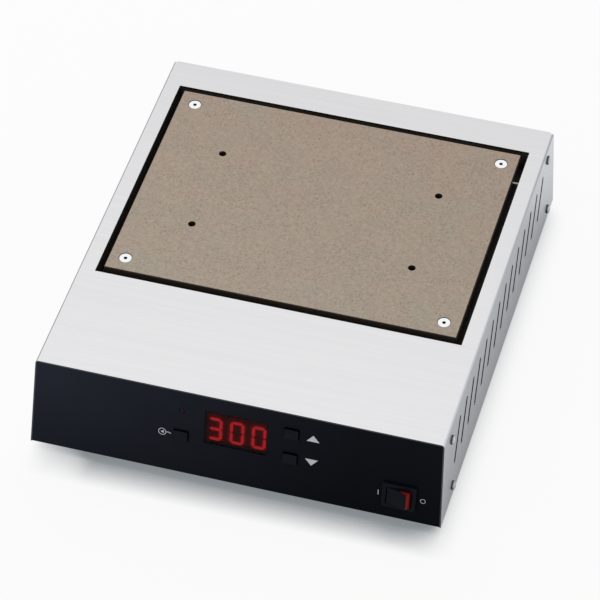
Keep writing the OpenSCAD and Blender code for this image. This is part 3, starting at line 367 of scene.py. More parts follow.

# %% [markdown]
# ## Powder-coated black panels
# The front and rear panels are steel with a black powder coat. The powder melts and flows together into a
# satin skin with a faint orange peel, about a millimetre from crest to crest. It is a very dark blue-black
# with little gloss, so its reflections are kept weak with a low index of refraction. The front panel is
# painted a little paler at its left end and along its upper edge: a painted reflection of the white room,
# which they face more.

# %% Panel finish
PEEL = 1.1
CLOUD = 60.0
CLOUD_SHARE = 0.2
PALE_END, DARK_END = -140.0, 85.0
PANEL_LOW, PANEL_HIGH = 10.0, 72.0
powder_coat, tree, shader, point = finish("black_powder_coat", {"IOR": 1.11})
spot = add(tree, "ShaderNodeSeparateXYZ", {0: point}).outputs
# The paler left end and upper edge are a painted reflection of the white room.
rightward = along(tree, spot["X"], 0.0, 1.0, PALE_END, DARK_END)
upward = along(tree, spot["Z"], 0.0, 1.0, PANEL_LOW, PANEL_HIGH)
foot = along(tree, rightward, linear("20242d"), linear("090c13"))
crest = along(tree, rightward, linear("292d37"), linear("0e1118"))
black = along(tree, upward, foot, crest)
cloud = along(tree, grains(tree, point, CLOUD, 1.0), 0.0, CLOUD_SHARE)
black = along(tree, cloud, black, linear("07090d"))
skin(tree, shader, black, grains(tree, point, PEEL), 0.42, 0.54, 0.006)
print("powder coat: peel", PEEL, "mm")

# %% [markdown]
# ## Ceramic-coated heating plate
# The plate is aluminium under a sprayed, fired coat in a warm taupe. The coat is grainy like fine
# sandpaper, and heat and flux have mottled it: soft blotches a few centimetres wide, some of them greener
# or pinker, and small darker marks. Cells of a Voronoi texture give the grains, because noise alone would
# give worm-like marks. Real grit is a few tenths of a millimetre, and it is drawn at 1.1 mm so that it
# shows.

# %% Grit, blotches and mottle
GRAIN = 1.1
BLOTCH = 22.0
HUE = 40.0
MOTTLE = 3.6
MARK_SHARE = 0.4
plate_coat, tree, shader, point = finish("fired_taupe_coat", {"IOR": 1.4})
cells = add(tree, "ShaderNodeTexVoronoi", {"Vector": point, "Scale": 1 / GRAIN}).outputs["Color"]
grit = add(tree, "ShaderNodeSeparateColor", {0: cells}).outputs
coat = along(tree, grains(tree, point, HUE, 3.0, 0.4), linear("b1ad9d"), linear("bca89b"))
coat = along(tree, grains(tree, point, BLOTCH, 3.0, 0.45), coat, linear("bead9b"))
coat = along(tree, along(tree, grit[0], 0.0, MARK_SHARE), coat, linear("897f72"))
mottle = along(tree, grains(tree, point, MOTTLE, 4.0, 0.6), MARK_SHARE, 0.0)
coat = along(tree, mottle, coat, linear("887e72"))
print("grit", GRAIN, "mm, blotches", BLOTCH, "mm")

# %% [markdown]
# Sparse dark specks lie over the coat in loose clusters. They are the middles of larger cells: a lot
# decides which cells have one, wide noise makes the lots better in some places, and fine noise pushes the
# cells about, so that the specks keep no rows.

# %% Dark specks
SPECK_SPACING = 2.7
SPECK_WANDER = 2.4
SPECK_CLUSTER = 14.0
SPECK_SHARE = 0.42
SPECK_RIM, SPECK_CORE = 0.34, 0.1
POOR_LOT, GOOD_LOT = 0.2, 0.4
wander = add(tree, "ShaderNodeTexNoise", {"Vector": point, "Scale": 1 / SPECK_SPACING}).outputs["Color"]
wander = add(tree, "ShaderNodeVectorMath", {0: wander, "Scale": SPECK_WANDER}, operation="SCALE").outputs[0]
strayed = add(tree, "ShaderNodeVectorMath", {0: point, 1: wander}, operation="ADD").outputs[0]
specks = add(tree, "ShaderNodeTexVoronoi", {"Vector": strayed, "Scale": 1 / SPECK_SPACING},
             voronoi_dimensions="2D").outputs
lot = add(tree, "ShaderNodeSeparateColor", {0: specks["Color"]}).outputs[0]
cluster = grains(tree, point, SPECK_CLUSTER)
lot = add(tree, "ShaderNodeMath", {0: lot, 1: cluster}, operation="MULTIPLY").outputs[0]
picked = along(tree, lot, 0.0, SPECK_SHARE, POOR_LOT, GOOD_LOT)
core = along(tree, specks["Distance"], 0.0, 1.0, SPECK_RIM, SPECK_CORE)
speck = add(tree, "ShaderNodeMath", {0: picked, 1: core}, operation="MULTIPLY").outputs[0]
coat = along(tree, speck, coat, linear("6c6256"))
print("specks in clusters of", SPECK_CLUSTER, "mm")

# %% [markdown]
# The plate is a little darker and redder towards the rear. Only the level upper face keeps the coat's
# colour: the sides, the bores and the countersinks are painted brown-black as shade.

# %% Plate finish
LEVEL_FACE = 0.75
plate_low, plate_high = (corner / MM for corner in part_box("heating_plate"))
# The coat is darker and a little redder towards the rear.
depth = add(tree, "ShaderNodeSeparateXYZ", {0: point}).outputs["Y"]
rearward = along(tree, depth, 0.0, 1.0, plate_low.y, plate_high.y)
rear_tint = along(tree, rearward, linear("ffffff"), linear("f8f2f1"))
coat = add(tree, "ShaderNodeMix", {0: 1.0, 6: coat, 7: rear_tint}, data_type="RGBA",
           blend_type="MULTIPLY").outputs[2]
# Painted shade: the sides, the bores and the countersinks are brown-black.
unshaded_top = between(tree, sides(tree)["Z"], LEVEL_FACE, BEYOND)
coat = along(tree, unshaded_top, linear("2a221b"), coat)
skin(tree, shader, coat, grit[1], 0.55, 0.75, 0.008, grit[0])
print("plate", [round(length) for length in plate_high - plate_low], "mm")

# %% [markdown]
# ## Plated screws, sheet zinc and bare metals
# Screws and nuts are steel with a bright nickel or zinc plating, which keeps the faint rings and grain of
# the metal below. Brass, the extruded heat sink and the laminated core are built in the same way with
# their own colours.

# %% Metal finishes
def metal(name, dark, light, smooth, rough, size, depth, shade_tone=None, shaded_where=None):
    """A bare or plated metal with a grain of this size in mm, with painted shade where a function says so.
    """
    material, tree, shader, point = finish(name, {"Metallic": 1.0})
    grain = grains(tree, point, size, 3.0)
    colour = along(tree, grain, linear(dark), linear(light))
    # Painted shade: a darker colour where the given function says so.
    if shade_tone:
        colour = along(tree, shaded_where(tree, point), colour, linear(shade_tone))
    skin(tree, shader, colour, grain, smooth, rough, depth)
    return material


zinc = metal("clear_zinc_plating", "b9bdc2", "d3d6da", 0.25, 0.42, 0.6, 0.003)
brass = metal("rolled_brass", "b08d3f", "cfae62", 0.22, 0.38, (0.4, 6.0, 6.0), 0.002)
extruded = metal("extruded_aluminium", "b4b7ba", "d2d4d6", 0.28, 0.45, (0.5, 0.5, 30.0), 0.004)
laminated = metal("stacked_silicon_steel", "4a4d52", "7b7f86", 0.35, 0.6, (30.0, 0.5, 30.0), 0.02)
sheath = metal("drawn_stainless_tube", "85878b", "a0a2a6", 0.25, 0.4, (12.0, 0.3, 0.3), 0.001)
print("plain metals ready")

# %% [markdown]
# Three kinds of screw have a dark part, which is painted shade. The cover screws are bright on their crowns
# and painted dark on their flanks, at their foot against the wall. The recesses of the plate screws are
# painted dark, and no light reaches into the sockets of the inlet's screws. Each part is told by one value:
# the height in the head, or the place of the point.

# %% Screws with a dark part
CROWN_FOOT, CROWN_TOP = 0.25, 0.95
RECESS_DEPTH = 0.2
SOCKET_DEPTH = 0.2


def flank(tree, point):
    """One on the flank of a cover screw's head, where shade is painted, and zero on its crown."""
    crown = add(tree, "ShaderNodeAttribute", attribute_name="crown").outputs["Fac"]
    return along(tree, crown, 1.0, 0.0, CROWN_FOOT, CROWN_TOP)


def recess(tree, point):
    """One in the recess of a plate screw, where shade is painted."""
    height = add(tree, "ShaderNodeSeparateXYZ", {0: point}).outputs["Z"]
    return between(tree, height, 0.0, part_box("plate_screws")[1].z / MM - RECESS_DEPTH)


def socket(tree, point):
    """One in the socket of an inlet screw."""
    outward = add(tree, "ShaderNodeSeparateXYZ", {0: point}).outputs["Y"]
    return between(tree, outward, 0.0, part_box("inlet_screws")[1].y / MM - SOCKET_DEPTH)


# The cover screws get painted shade on their flanks, the plate screws in their recesses and the inlet
# screws in their sockets.
nickel = metal("nickel_plating_shaded_flanks", "c9ced3", "e2e5e8", 0.16, 0.3, 0.5, 0.002, "33383f", flank)
bright_nickel = metal("bright_nickel_plating", "eef0f1", "fafafa", 0.2, 0.34, 0.5, 0.002,
                      "262c33", recess)
socket_zinc = metal("zinc_plated_socket_screw", "b9bdc2", "d3d6da", 0.25, 0.42, 0.6, 0.003,
                    "2c2e32", socket)
print("screw finishes ready")

# %% [markdown]
# The base plate is galvanised sheet, whose zinc froze in crystals a few millimetres wide: cells from a
# Voronoi texture, each with its own grey.

# %% Galvanised sheet
CRYSTAL = 5.0
ZINC_GRAIN = 0.8
galvanised, tree, shader, point = finish("galvanised_sheet", {"Metallic": 1.0})
cells = add(tree, "ShaderNodeTexVoronoi", {"Vector": point, "Scale": 1 / CRYSTAL}).outputs["Color"]
tone = add(tree, "ShaderNodeSeparateColor", {0: cells}).outputs[0]
frost = along(tree, tone, linear("9da2a8"), linear("c3c8cc"))
skin(tree, shader, frost, tone, 0.3, 0.5, 0.004, grains(tree, point, ZINC_GRAIN))
print("zinc crystals", CRYSTAL, "mm")

# %% [markdown]
# ## The heating stack
# Below the plate lie a flat heater of mica, a white board of pressed ceramic fibre and tubes of alumina.
# They sit in a tray whose steel was blackened, and the heat has given it a brown bloom. The tray is what
# shows as the black line around the plate.

# %% Stack finishes
BLOOM = 22.0
SCALE = 1.5
tray_black, tree, shader, point = finish("heat_blackened_steel", {"IOR": 1.35})
bloom = along(tree, grains(tree, point, BLOOM, 3.0), linear("3a322a"), linear("4a4641"))
skin(tree, shader, bloom, grains(tree, point, SCALE), 0.55, 0.8, 0.015)


def mineral(name, dark, light, size, rough, depth):
    """A pressed or fired mineral with grains or fibres of this size in mm."""
    material, tree, shader, point = finish(name, {})
    grain = grains(tree, point, size, 4.0)
    skin(tree, shader, along(tree, grain, linear(dark), linear(light)), grain, rough, rough, depth)
    return material


mica = mineral("pressed_mica_sheet", "a48a5c", "cdb888", (4.0, 4.0, 0.2), 0.45, 0.03)
fibre = mineral("ceramic_fibre_board", "d9d5cb", "f2efe8", (3.0, 0.5, 0.8), 0.95, 0.12)
alumina = mineral("fired_alumina", "e6e0d3", "f1ece2", 0.7, 0.5, 0.01)
print("stack finishes ready")

# %% [markdown]
# ## Moulded plastics and rubber
# Keys, switch, sockets and feet come out of steel moulds whose walls were spark-eroded, which leaves an
# even, fine texture, drawn at about a third of a millimetre so that it shows. A moulded part therefore
# has an even colour, and its grain shows as slightly broken highlights. Rubber is the same but duller,
# and it picks up a little dust. Black parts beside the black panel have weak reflections, as the panel
# has.

# %% Plastic finishes
SPARK = 0.35
SPARK_DEPTH = 0.008
FLOW = 18.0


def moulded(name, dark, light, smooth, rough, texture=SPARK, depth=SPARK_DEPTH, index=1.46):
    """A plastic or rubber from a textured mould: colours, roughness, texture size and depth in mm."""
    material, tree, shader, point = finish(name, {"IOR": index})
    flow = along(tree, grains(tree, point, FLOW, 1.0), linear(dark), linear(light))
    skin(tree, shader, flow, grains(tree, point, texture), smooth, rough, depth)
    return material


black_nylon = moulded("moulded_black_nylon", "0b0e15", "12151e", 0.38, 0.52, index=1.15)
white_nylon = moulded("moulded_white_nylon", "dcdad3", "e9e7e1", 0.35, 0.5)
green_plastic = moulded("moulded_green_polyester", "2f6d45", "3a7e52", 0.35, 0.5)
rubber = moulded("moulded_black_rubber", "15151a", "26262a", 0.7, 0.9, 0.8, 0.02)
print("even plastics ready")

# %% [markdown]
# Two plastics change with their place. The rocker's red flag is painted darker where it dives below the
# switch's bezel, as painted shade, so its colour follows how far a point stands out from the front panel.
# The keys' flanks are painted near-black as shade, darker than their faces, so their colour follows how
# squarely a face looks out of the panel.

# %% Flag and key finishes
PANEL_LEAN = math.radians(11.3)
OUT = Vector((0.0, -math.cos(PANEL_LEAN), math.sin(PANEL_LEAN)))
SHADE_START, SHADE_END = 0.3, 0.85
FLANK_LOOK, FACE_LOOK = 0.3, 0.9


def farthest_out(name):
    """How far a solid stands out along the front panel's normal, in mm."""
    return max(corner.co.dot(OUT) for corner in nodes[name].data.vertices) / MM


flag_out = farthest_out("rocker_flag")
flag_rise = flag_out - farthest_out("switch_housing")
red_plastic, tree, shader, point = finish("moulded_red_polycarbonate", {"IOR": 1.15})
spark = grains(tree, point, SPARK)
out = add(tree, "ShaderNodeVectorMath", {0: point, 1: OUT}, operation="DOT_PRODUCT").outputs["Value"]
# Painted shade: the flag darkens where it sinks below the bezel.
sunk = along(tree, out, 0.0, 1.0, flag_out - SHADE_START * flag_rise, flag_out - SHADE_END * flag_rise)
red = along(tree, spark, linear("8c1f1e"), linear("9c2523"))
skin(tree, shader, along(tree, sunk, red, linear("3c0508")), spark, 0.3, 0.42, SPARK_DEPTH)
print("rocker flag stands", round(flag_rise, 2), "mm above the bezel")

key_plastic, tree, shader, point = finish("moulded_key_plastic", {"IOR": 1.14})
spark = grains(tree, point, SPARK)
looks = add(tree, "ShaderNodeNewGeometry").outputs["Normal"]
ahead = add(tree, "ShaderNodeVectorMath", {0: looks, 1: OUT}, operation="DOT_PRODUCT").outputs["Value"]
face = along(tree, ahead, 0.0, 1.0, FLANK_LOOK, FACE_LOOK)
pale = along(tree, spark, linear("10141c"), linear("171b26"))
# The flanks are painted near-black: painted shade.
skin(tree, shader, along(tree, face, linear("010102"), pale), spark, 0.4, 0.55, SPARK_DEPTH)
print("key finish ready")

# %% [markdown]
# ## Display and lamp
# The three digits are light-emitting bars behind a window of dark red acrylic. The window lets only red
# through, so the lit bars glow through it. The unlit bars get a faint painted glow for the stray light they
# catch from their neighbours, and the display's body almost vanishes. A bar isn't evenly bright, which a
# little noise in the emission stands for. A thin foil over the bars carries a painted glow for the light
# they spread, and a later step stores in it how much each point gets. The lamp beside the display is a
# small red lens, not lit.

# %% Display finishes
BAR_GRAIN = 1.2


def diode_bars(name, body, strength, dim, bright, smooth, rough):
    """Light-emitting bars with an uneven glow between two colours."""
    material, tree, shader, point = finish(name, {"Emission Strength": strength})
    uneven = grains(tree, point, BAR_GRAIN, 1.0, 0.8)
    skin(tree, shader, linear(body), uneven, smooth, rough)
    fill(tree, shader, {"Emission Color": along(tree, uneven, linear(dim), linear(bright))})
    return material


lit = diode_bars("lit_red_diodes", "5a0a0a", 1.15, "d86c78", "f8868e", 0.4, 0.5)
# The unlit bars' faint emission is a painted glow for stray light.
unlit = diode_bars("unlit_diode_bars", "0a0506", 1.0, "3a0406", "4a0508", 0.45, 0.55)

# The foil's emission is a painted glow around the lit bars.
foil, tree, shader, point = finish("red_foil_painted_glow", {"Emission Strength": 1.0})
spread = add(tree, "ShaderNodeAttribute", attribute_name="glow").outputs["Fac"]
skin(tree, shader, linear("050304"), grains(tree, point, 0.5), 0.5, 0.65)
fill(tree, shader, {"Emission Color": along(tree, spread, linear("0a0102"), linear("8a070a"))})

window, tree, shader, point = finish("tinted_red_acrylic", {"Transmission Weight": 1.0, "IOR": 1.15})
skin(tree, shader, linear("98383f"), grains(tree, point, 1.5), 0.02, 0.06)

face_black = moulded("printed_display_face", "030303", "060506", 0.5, 0.6, index=1.1)
lens_red, tree, shader, point = finish("moulded_red_lens", {"Transmission Weight": 0.5, "IOR": 1.2})
haze = grains(tree, point, 0.8)
skin(tree, shader, along(tree, haze, linear("3a0f1a"), linear("4a1522")), haze, 0.15, 0.28)
print("display finishes ready")

# %% [markdown]
# ## Circuit boards and electrical parts
# A circuit board is glass cloth and epoxy under a green solder mask, with copper tracks that show as
# paler lines. A brick texture on the usual grid of such boards, a tenth of an inch, draws the tracks. The
# winding is varnished copper wire, so its bands repeat at the wire's thickness.

# %% Board finishes
GRID = 2.54
WEAVE = 0.9
solder_mask, tree, shader, point = finish("green_solder_mask", {"IOR": 1.5})
tracks = add(tree, "ShaderNodeTexBrick", {"Vector": point, "Scale": 1 / (4 * GRID), "Mortar Size": 0.035,
                                          "Color1": linear("0f4a2c"), "Color2": linear("13573a"),
                                          "Mortar": linear("3c8a5a")}).outputs["Color"]
skin(tree, shader, tracks, grains(tree, point, WEAVE), 0.25, 0.4, 0.004)

WIRE = 0.6
BAND = 0.314  # the wave texture's band at a scale of one
winding, tree, shader, point = finish("varnished_copper_wire", {"Metallic": 0.7, "Coat Weight": 0.5})
turns = add(tree, "ShaderNodeTexWave", {"Vector": point, "Scale": BAND / WIRE, "Distortion": 0.6},
            bands_direction="Z").outputs["Fac"]
skin(tree, shader, along(tree, turns, linear("6a3316"), linear("b5662d")), turns, 0.5, 0.3, 0.1)

glass, tree, shader, point = finish("fuse_glass", {"Transmission Weight": 0.8, "IOR": 1.5})
smear = grains(tree, point, 3.0)
skin(tree, shader, along(tree, smear, linear("d8dedc"), linear("eef2f0")), smear, 0.04, 0.12)
print("tracks on a", GRID, "mm grid, wire", WIRE, "mm")

# %% [markdown]
# ## One finish for every solid
# A solid keeps its mesh and only gets a finish in its material slots. The list below reads like a parts
# list: each finish with the pieces that are made of it.

# %% Finishes to solids
finishes = {
    stainless: "top_cover",
    powder_coat: "front_panel rear_panel",
    plate_coat: "heating_plate",
    nickel: "cover_screws",
    bright_nickel: "plate_screws",
    zinc: "base_screws foot_screws foot_nuts tray_posts post_screws board_posts board_screws power_posts "
          "power_screws inlet_nuts thermal_cutout",
    socket_zinc: "inlet_screws",
    galvanised: "base_plate",
    brass: "switch_tabs fuse_clips inlet_blades earth_stud earth_nuts",
    extruded: "heat_sink",
    laminated: "transformer_core",
    sheath: "temperature_probe",
    tray_black: "heat_tray",
    mica: "heater_mat",
    fibre: "insulation_board",
    alumina: "ceramic_spacers",
    black_nylon: "switch_housing rocker mains_inlet remote_socket triac tact_switches",
    key_plastic: "set_key up_key down_key",
    white_nylon: "lamp_spacer set_plunger up_plunger down_plunger",
    red_plastic: "rocker_flag",
    green_plastic: "terminal_block",
    rubber: "feet",
    window: "display_window",
    lit: "digits_lit",
    unlit: "digits_dark",
    face_black: "display_block",
    lens_red: "status_lamp",
    solder_mask: "control_board power_board",
    winding: "transformer_coil",
    glass: "fuse",
}
for material, names in finishes.items():
    for name in names.split():
        for slot in nodes[name].material_slots:
            slot.material = material
bare = set(nodes) - {name for names in finishes.values() for name in names.split()}
print("solids without a finish:", sorted(bare))

# %% [markdown]
# ## Soft edges on moulded pieces
# No moulded edge is perfectly sharp: a mould has a small radius everywhere, and that radius catches the
# light. The solids have plain edges, so each moulded piece is copied, its loose triangles are joined into
# flat faces, and a Bevel modifier rounds what is still sharp. The copy then stands for the solid and
# rides on the same body.

# %% A plain piece
def plain(obj, name):
    """Turns an object and its modifiers into a plain mesh object at the origin, in place of the first."""
    depsgraph = bpy.context.evaluated_depsgraph_get()
    mesh = bpy.data.meshes.new_from_object(obj.evaluated_get(depsgraph))
    mesh.name = name
    bpy.data.objects.remove(obj)
    piece = bpy.data.objects.new(name, mesh)
    scene.collection.objects.link(piece)
    return piece


print("pieces are made plain before they get a body")

# %% Rounded copies
WELD = 0.001
FLAT_ANGLE = math.radians(2)
SHARP_ANGLE = math.radians(35)


def rounded_copy(node, radius):
    """Makes a copy of a solid, with its edges rounded to a radius in mm, that stands for the solid."""
    mesh = nodes[node].data.copy()
    if "custom_normal" in mesh.attributes:
        mesh.attributes.remove(mesh.attributes["custom_normal"])
    shape = bmesh.new()
    shape.from_mesh(mesh)
    bmesh.ops.remove_doubles(shape, verts=shape.verts, dist=WELD * MM)
    bmesh.ops.dissolve_limit(shape, angle_limit=FLAT_ANGLE, verts=shape.verts, edges=shape.edges)
    shape.to_mesh(mesh)
    shape.free()
    copy = bpy.data.objects.new(node + "_copy", mesh)
    scene.collection.objects.link(copy)
    bevel = copy.modifiers.new("edge", "BEVEL")
    bevel.width = radius * MM
    bevel.segments = 3
    bevel.limit_method = "ANGLE"
    bevel.angle_limit = SHARP_ANGLE
    piece = plain(copy, node + "_rounded")
    piece.data.shade_smooth()
    piece.data.set_sharp_from_angle(angle=SHARP_ANGLE)
    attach(piece, nodes[node]["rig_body"])
    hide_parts(node)
    print(piece.name, len(piece.data.polygons), "faces")


for node, radius, material_slot in (
        ("set_key", 0.4, "key_plastic"), ("up_key", 0.4, "key_plastic"), ("down_key", 0.4, "key_plastic"),
        ("switch_housing", 0.35, "black_plastic"), ("rocker", 0.35, "black_plastic"),
        ("rocker_flag", 0.25, "red_plastic"), ("feet", 0.8, "rubber"),
        ("mains_inlet", 0.4, "black_plastic"), ("remote_socket", 0.3, "black_plastic")):
    rounded_copy(node, radius)

# %% [markdown]
# ## Marks on the front panel
# The arrows, the sign at the set key and the switch's two marks are screen-printed: a layer of pale ink,
# a few hundredths of a millimetre thick. They could be drawn in the panel's material, but ink has a crisp
# edge, so each mark is a flat outline on the panel that a Solidify modifier makes as thick as ink.

# %% Drawing on the panel
PANEL_FOOT = Vector((0.0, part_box("top_cover")[0].y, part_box("top_cover")[0].z))
UP = Vector((0.0, math.sin(PANEL_LEAN), math.cos(PANEL_LEAN)))


def on_panel(x, up, out=0.0):
    """A point of the front panel, in mm: from its middle, up along its lean and out of its face."""
    return PANEL_FOOT + (Vector((x, 0.0, 0.0)) + UP * up + OUT * out) * MM


def stroke(points, width):
    """Outlines of the short bars that follow a line of points on the panel."""
    bars = []
    for (x0, y0), (x1, y1) in zip(points, points[1:]):
        length = math.hypot(x1 - x0, y1 - y0)
        dx, dy = (y0 - y1) / length * width / 2, (x1 - x0) / length * width / 2
        bars.append([(x0 - dx, y0 - dy), (x1 - dx, y1 - dy), (x1 + dx, y1 + dy), (x0 + dx, y0 + dy)])
    return bars


def ring(x, y, diameter, width, steps=48):
    """Outlines of a ring, as short pieces that share their ends."""
    angles = [2 * math.pi * i / steps for i in range(steps + 1)]
    inner, outer = ([(x + r * math.cos(a), y + r * math.sin(a)) for a in angles]
                    for r in ((diameter - width) / 2, (diameter + width) / 2))
    return list(zip(inner, outer, outer[1:], inner[1:]))


def laid(name, mesh, thickness):
    """Gives a flat mesh on the panel a thickness in mm and makes it a piece of the housing."""
    flat = bpy.data.objects.new(name + "_flat", mesh)
    scene.collection.objects.link(flat)
    thick = flat.modifiers.new("thickness", "SOLIDIFY")
    thick.thickness = thickness * MM
    thick.offset = 1.0
    piece = plain(flat, name)
    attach(piece, "housing")
    print(name, len(piece.data.polygons), "faces")


print("panel leans back by", round(math.degrees(PANEL_LEAN), 1), "degrees")

# %% Printed marks
INK = 0.05
INK_WELD = 0.005
SCREEN = 0.3
ink, tree, shader, point = finish("screen_printed_ink", {"IOR": 1.45})
mesh_grain = grains(tree, point, SCREEN, 1.0)
pale = along(tree, mesh_grain, linear("c6cbd2"), linear("dadee3"))
skin(tree, shader, pale, mesh_grain, 0.45, 0.6, 0.003)


def printed(name, outlines):
    """Prints one mark from flat outlines on the front panel."""
    shape = bmesh.new()
    for outline in outlines:
        shape.faces.new([shape.verts.new(on_panel(x, up)) for x, up in outline])
    bmesh.ops.remove_doubles(shape, verts=shape.verts, dist=INK_WELD * MM)
    mesh = bpy.data.meshes.new(name)
    shape.to_mesh(mesh)
    shape.free()
    mesh.materials.append(ink)
    laid(name, mesh, INK)


printed("mark_up", [[(49.7, 49.7), (58.8, 49.7), (54.3, 54.9)]])
printed("mark_down", [[(49.4, 34.7), (53.9, 29.4), (58.5, 34.7)]])
printed("mark_on", stroke([(102.1, 17.3), (102.1, 21.3)], 0.55))
printed("mark_off", ring(133.6, 19.3, 3.4, 0.35))
printed("mark_set", ring(-52.5, 31.9, 5.2, 0.45) + [[(-53.7, 31.9), (-51.4, 30.6), (-51.4, 33.2)]]
        + stroke([(-50.0, 32.0), (-48.1, 32.4), (-46.2, 31.6)], 0.55))

# %% [markdown]
# ## Glow around the digits
# Behind the window, a foil lies on the display's face, and the bars shine through it. A red haze surrounds
# each digit, where their light spreads sideways, and the foil carries that haze as a painted glow. A blur
# of the finished picture could fake that, but it would be lost from any other side. Instead the foil is a
# grid of small faces, and every corner stores how near the nearest lit bar is. The foil's finish turns that
# number into a painted glow.

# %% Light in the foil
DISPLAY_UP = 43.5
FACE_DEPTH = 2.7
FOIL_WIDE, FOIL_HIGH = 44.4, 26.8
FOIL_CELL = 0.6
GLOW_REACH = 1.5
RIM_FADE = 2.5
bars = nodes["digits_lit"].data
bar_faces = BVHTree.FromPolygons([v.co for v in bars.vertices], [f.vertices for f in bars.polygons])
columns, rows = (round(length / FOIL_CELL) for length in (FOIL_WIDE, FOIL_HIGH))
spots, glows = [], []
for j in range(rows + 1):
    for i in range(columns + 1):
        x, up = (i / columns - 0.5) * FOIL_WIDE, (j / rows - 0.5) * FOIL_HIGH
        rim = min(FOIL_WIDE / 2 - abs(x), FOIL_HIGH / 2 - abs(up))
        spots.append(on_panel(x, DISPLAY_UP + up, -FACE_DEPTH))
        far = bar_faces.find_nearest(spots[-1])[3] / MM
        glows.append(math.exp(-far / GLOW_REACH) * min(1.0, rim / RIM_FADE))
print("foil of", columns, "by", rows, "cells, brightest", round(max(glows), 2))

# %% Foil with a painted glow
FOIL_THICK = 0.03
squares = [(k, k + 1, k + columns + 2, k + columns + 1)
           for j in range(rows) for k in range(j * (columns + 1), j * (columns + 1) + columns)]
foil_mesh = bpy.data.meshes.new("diffuser_foil")
foil_mesh.from_pydata(spots, [], squares)
foil_mesh.materials.append(foil)
foil_mesh.attributes.new("glow", "FLOAT", "POINT").data.foreach_set("value", glows)
laid("diffuser_foil", foil_mesh, FOIL_THICK)

# %% [markdown]
# ## Pan-head screws
# The cover is held by pan-head screws with a cross recess. One head is turned as a lathe would, and a
# cross is cut into it. Geometry Nodes then put a copy on every place: the tree turns each head to its own
# direction and by a random angle, because no two screws stop at the same turn. The head is made one unit
# wide and one unit high, so that the tree can scale it to any screw.

# %% One turned head
def turned(profile, steps):
    """A closed shape turned round the Z axis from a profile of radii and heights, from top to foot."""
    shape = bmesh.new()
    rows = [[shape.verts.new((r * math.cos(a), r * math.sin(a), z))
             for a in (2 * math.pi * i / steps for i in range(steps))] for r, z in profile]
    for upper, lower in zip(rows, rows[1:]):
        for i in range(steps):
            j = (i + 1) % steps
            shape.faces.new((upper[i], lower[i], lower[j], upper[j]))
    shape.faces.new(rows[0])
    shape.faces.new(list(reversed(rows[-1])))
    bmesh.ops.recalc_face_normals(shape, faces=shape.faces)
    return shape


def as_object(shape, name):
    """Makes a scene object from a bmesh."""
    mesh = bpy.data.meshes.new(name)
    shape.to_mesh(mesh)
    shape.free()
    obj = bpy.data.objects.new(name, mesh)
    scene.collection.objects.link(obj)
    return obj


ROUNDNESS = 2.5
DOME_STEPS = (0.04, 0.25, 0.45, 0.62, 0.76, 0.87, 0.95, 0.99)
RIM_HEIGHT = 0.12
dome = [(0.5 * t, (1 - t ** ROUNDNESS) ** (1 / ROUNDNESS)) for t in DOME_STEPS]
head = as_object(turned(dome + [(0.5, RIM_HEIGHT), (0.5, 0.0)], 40), "pan_head")
print("head", len(head.data.polygons), "faces before the cut")

# %% Cross recess
ARM_LONG, ARM_WIDE, ARM_TAPER = 0.62, 0.12, 0.55
ARM_MIDDLE = 0.95
arms = bmesh.new()
for turn in (0.0, math.pi / 2):
    arm = Matrix.Rotation(turn, 4, "Z") @ Matrix.Translation((0, 0, ARM_MIDDLE))
    arm = arm @ Matrix.Diagonal((ARM_LONG, ARM_WIDE, 1.0, 1.0))
    for corner in bmesh.ops.create_cube(arms, size=1.0)["verts"]:
        narrow = ARM_TAPER if corner.co.z < 0 else 1.0
        corner.co = arm @ Vector((corner.co.x * narrow, corner.co.y * narrow, corner.co.z))
cross = as_object(arms, "cross_recess")
cut = head.modifiers.new("recess", "BOOLEAN")
cut.operation = "DIFFERENCE"
cut.object = cross
cut.use_self = True
head = plain(head, "pan_head_cut")
crown = head.data.attributes.new("crown", "FLOAT", "POINT")
crown.data.foreach_set("value", [vertex.co.z for vertex in head.data.vertices])
bpy.data.objects.remove(cross)
print("head", len(head.data.polygons), "faces")

# %% [markdown]
# The tree takes the points where heads belong. Each point carries its screw's direction as an attribute.

# %% A tree that drives screws
screw_tree = bpy.data.node_groups.new("drive_screws", "GeometryNodeTree")
sockets = {}
for name, kind in (("Geometry", "Geometry"), ("Head", "Object"), ("Head diameter", "Float"),
                   ("Head height", "Float"), ("Thread diameter", "Float"), ("Length", "Float"),
                   ("Seed", "Int"), ("Finish", "Material")):
    sockets[name] = screw_tree.interface.new_socket(name, in_out="INPUT", socket_type="NodeSocket" + kind)
screw_tree.interface.new_socket("Geometry", in_out="OUTPUT", socket_type="NodeSocketGeometry")
given = add(screw_tree, "NodeGroupInput").outputs
head_size = add(screw_tree, "ShaderNodeCombineXYZ", {0: given["Head diameter"], 1: given["Head diameter"],
                                                     2: given["Head height"]}).outputs[0]
head_shape = add(screw_tree, "GeometryNodeObjectInfo", {"Object": given["Head"]}).outputs["Geometry"]
head_shape = add(screw_tree, "GeometryNodeTransform", {"Geometry": head_shape, "Scale": head_size})
half = add(screw_tree, "ShaderNodeMath", {0: given["Thread diameter"], 1: 0.5}, operation="MULTIPLY")
shank = add(screw_tree, "GeometryNodeMeshCylinder", {"Vertices": 24, "Radius": half.outputs[0],
                                                     "Depth": given["Length"]}).outputs["Mesh"]
drop = add(screw_tree, "ShaderNodeMath", {0: given["Length"], 1: -0.5}, operation="MULTIPLY")
below = add(screw_tree, "ShaderNodeCombineXYZ", {2: drop.outputs[0]}).outputs[0]
shank = add(screw_tree, "GeometryNodeTransform", {"Geometry": shank, "Translation": below})
screw = add(screw_tree, "GeometryNodeJoinGeometry")
for part in (head_shape, shank):
    screw_tree.links.new(part.outputs[0], screw.inputs[0])
print("one screw from", len(screw_tree.nodes), "nodes")

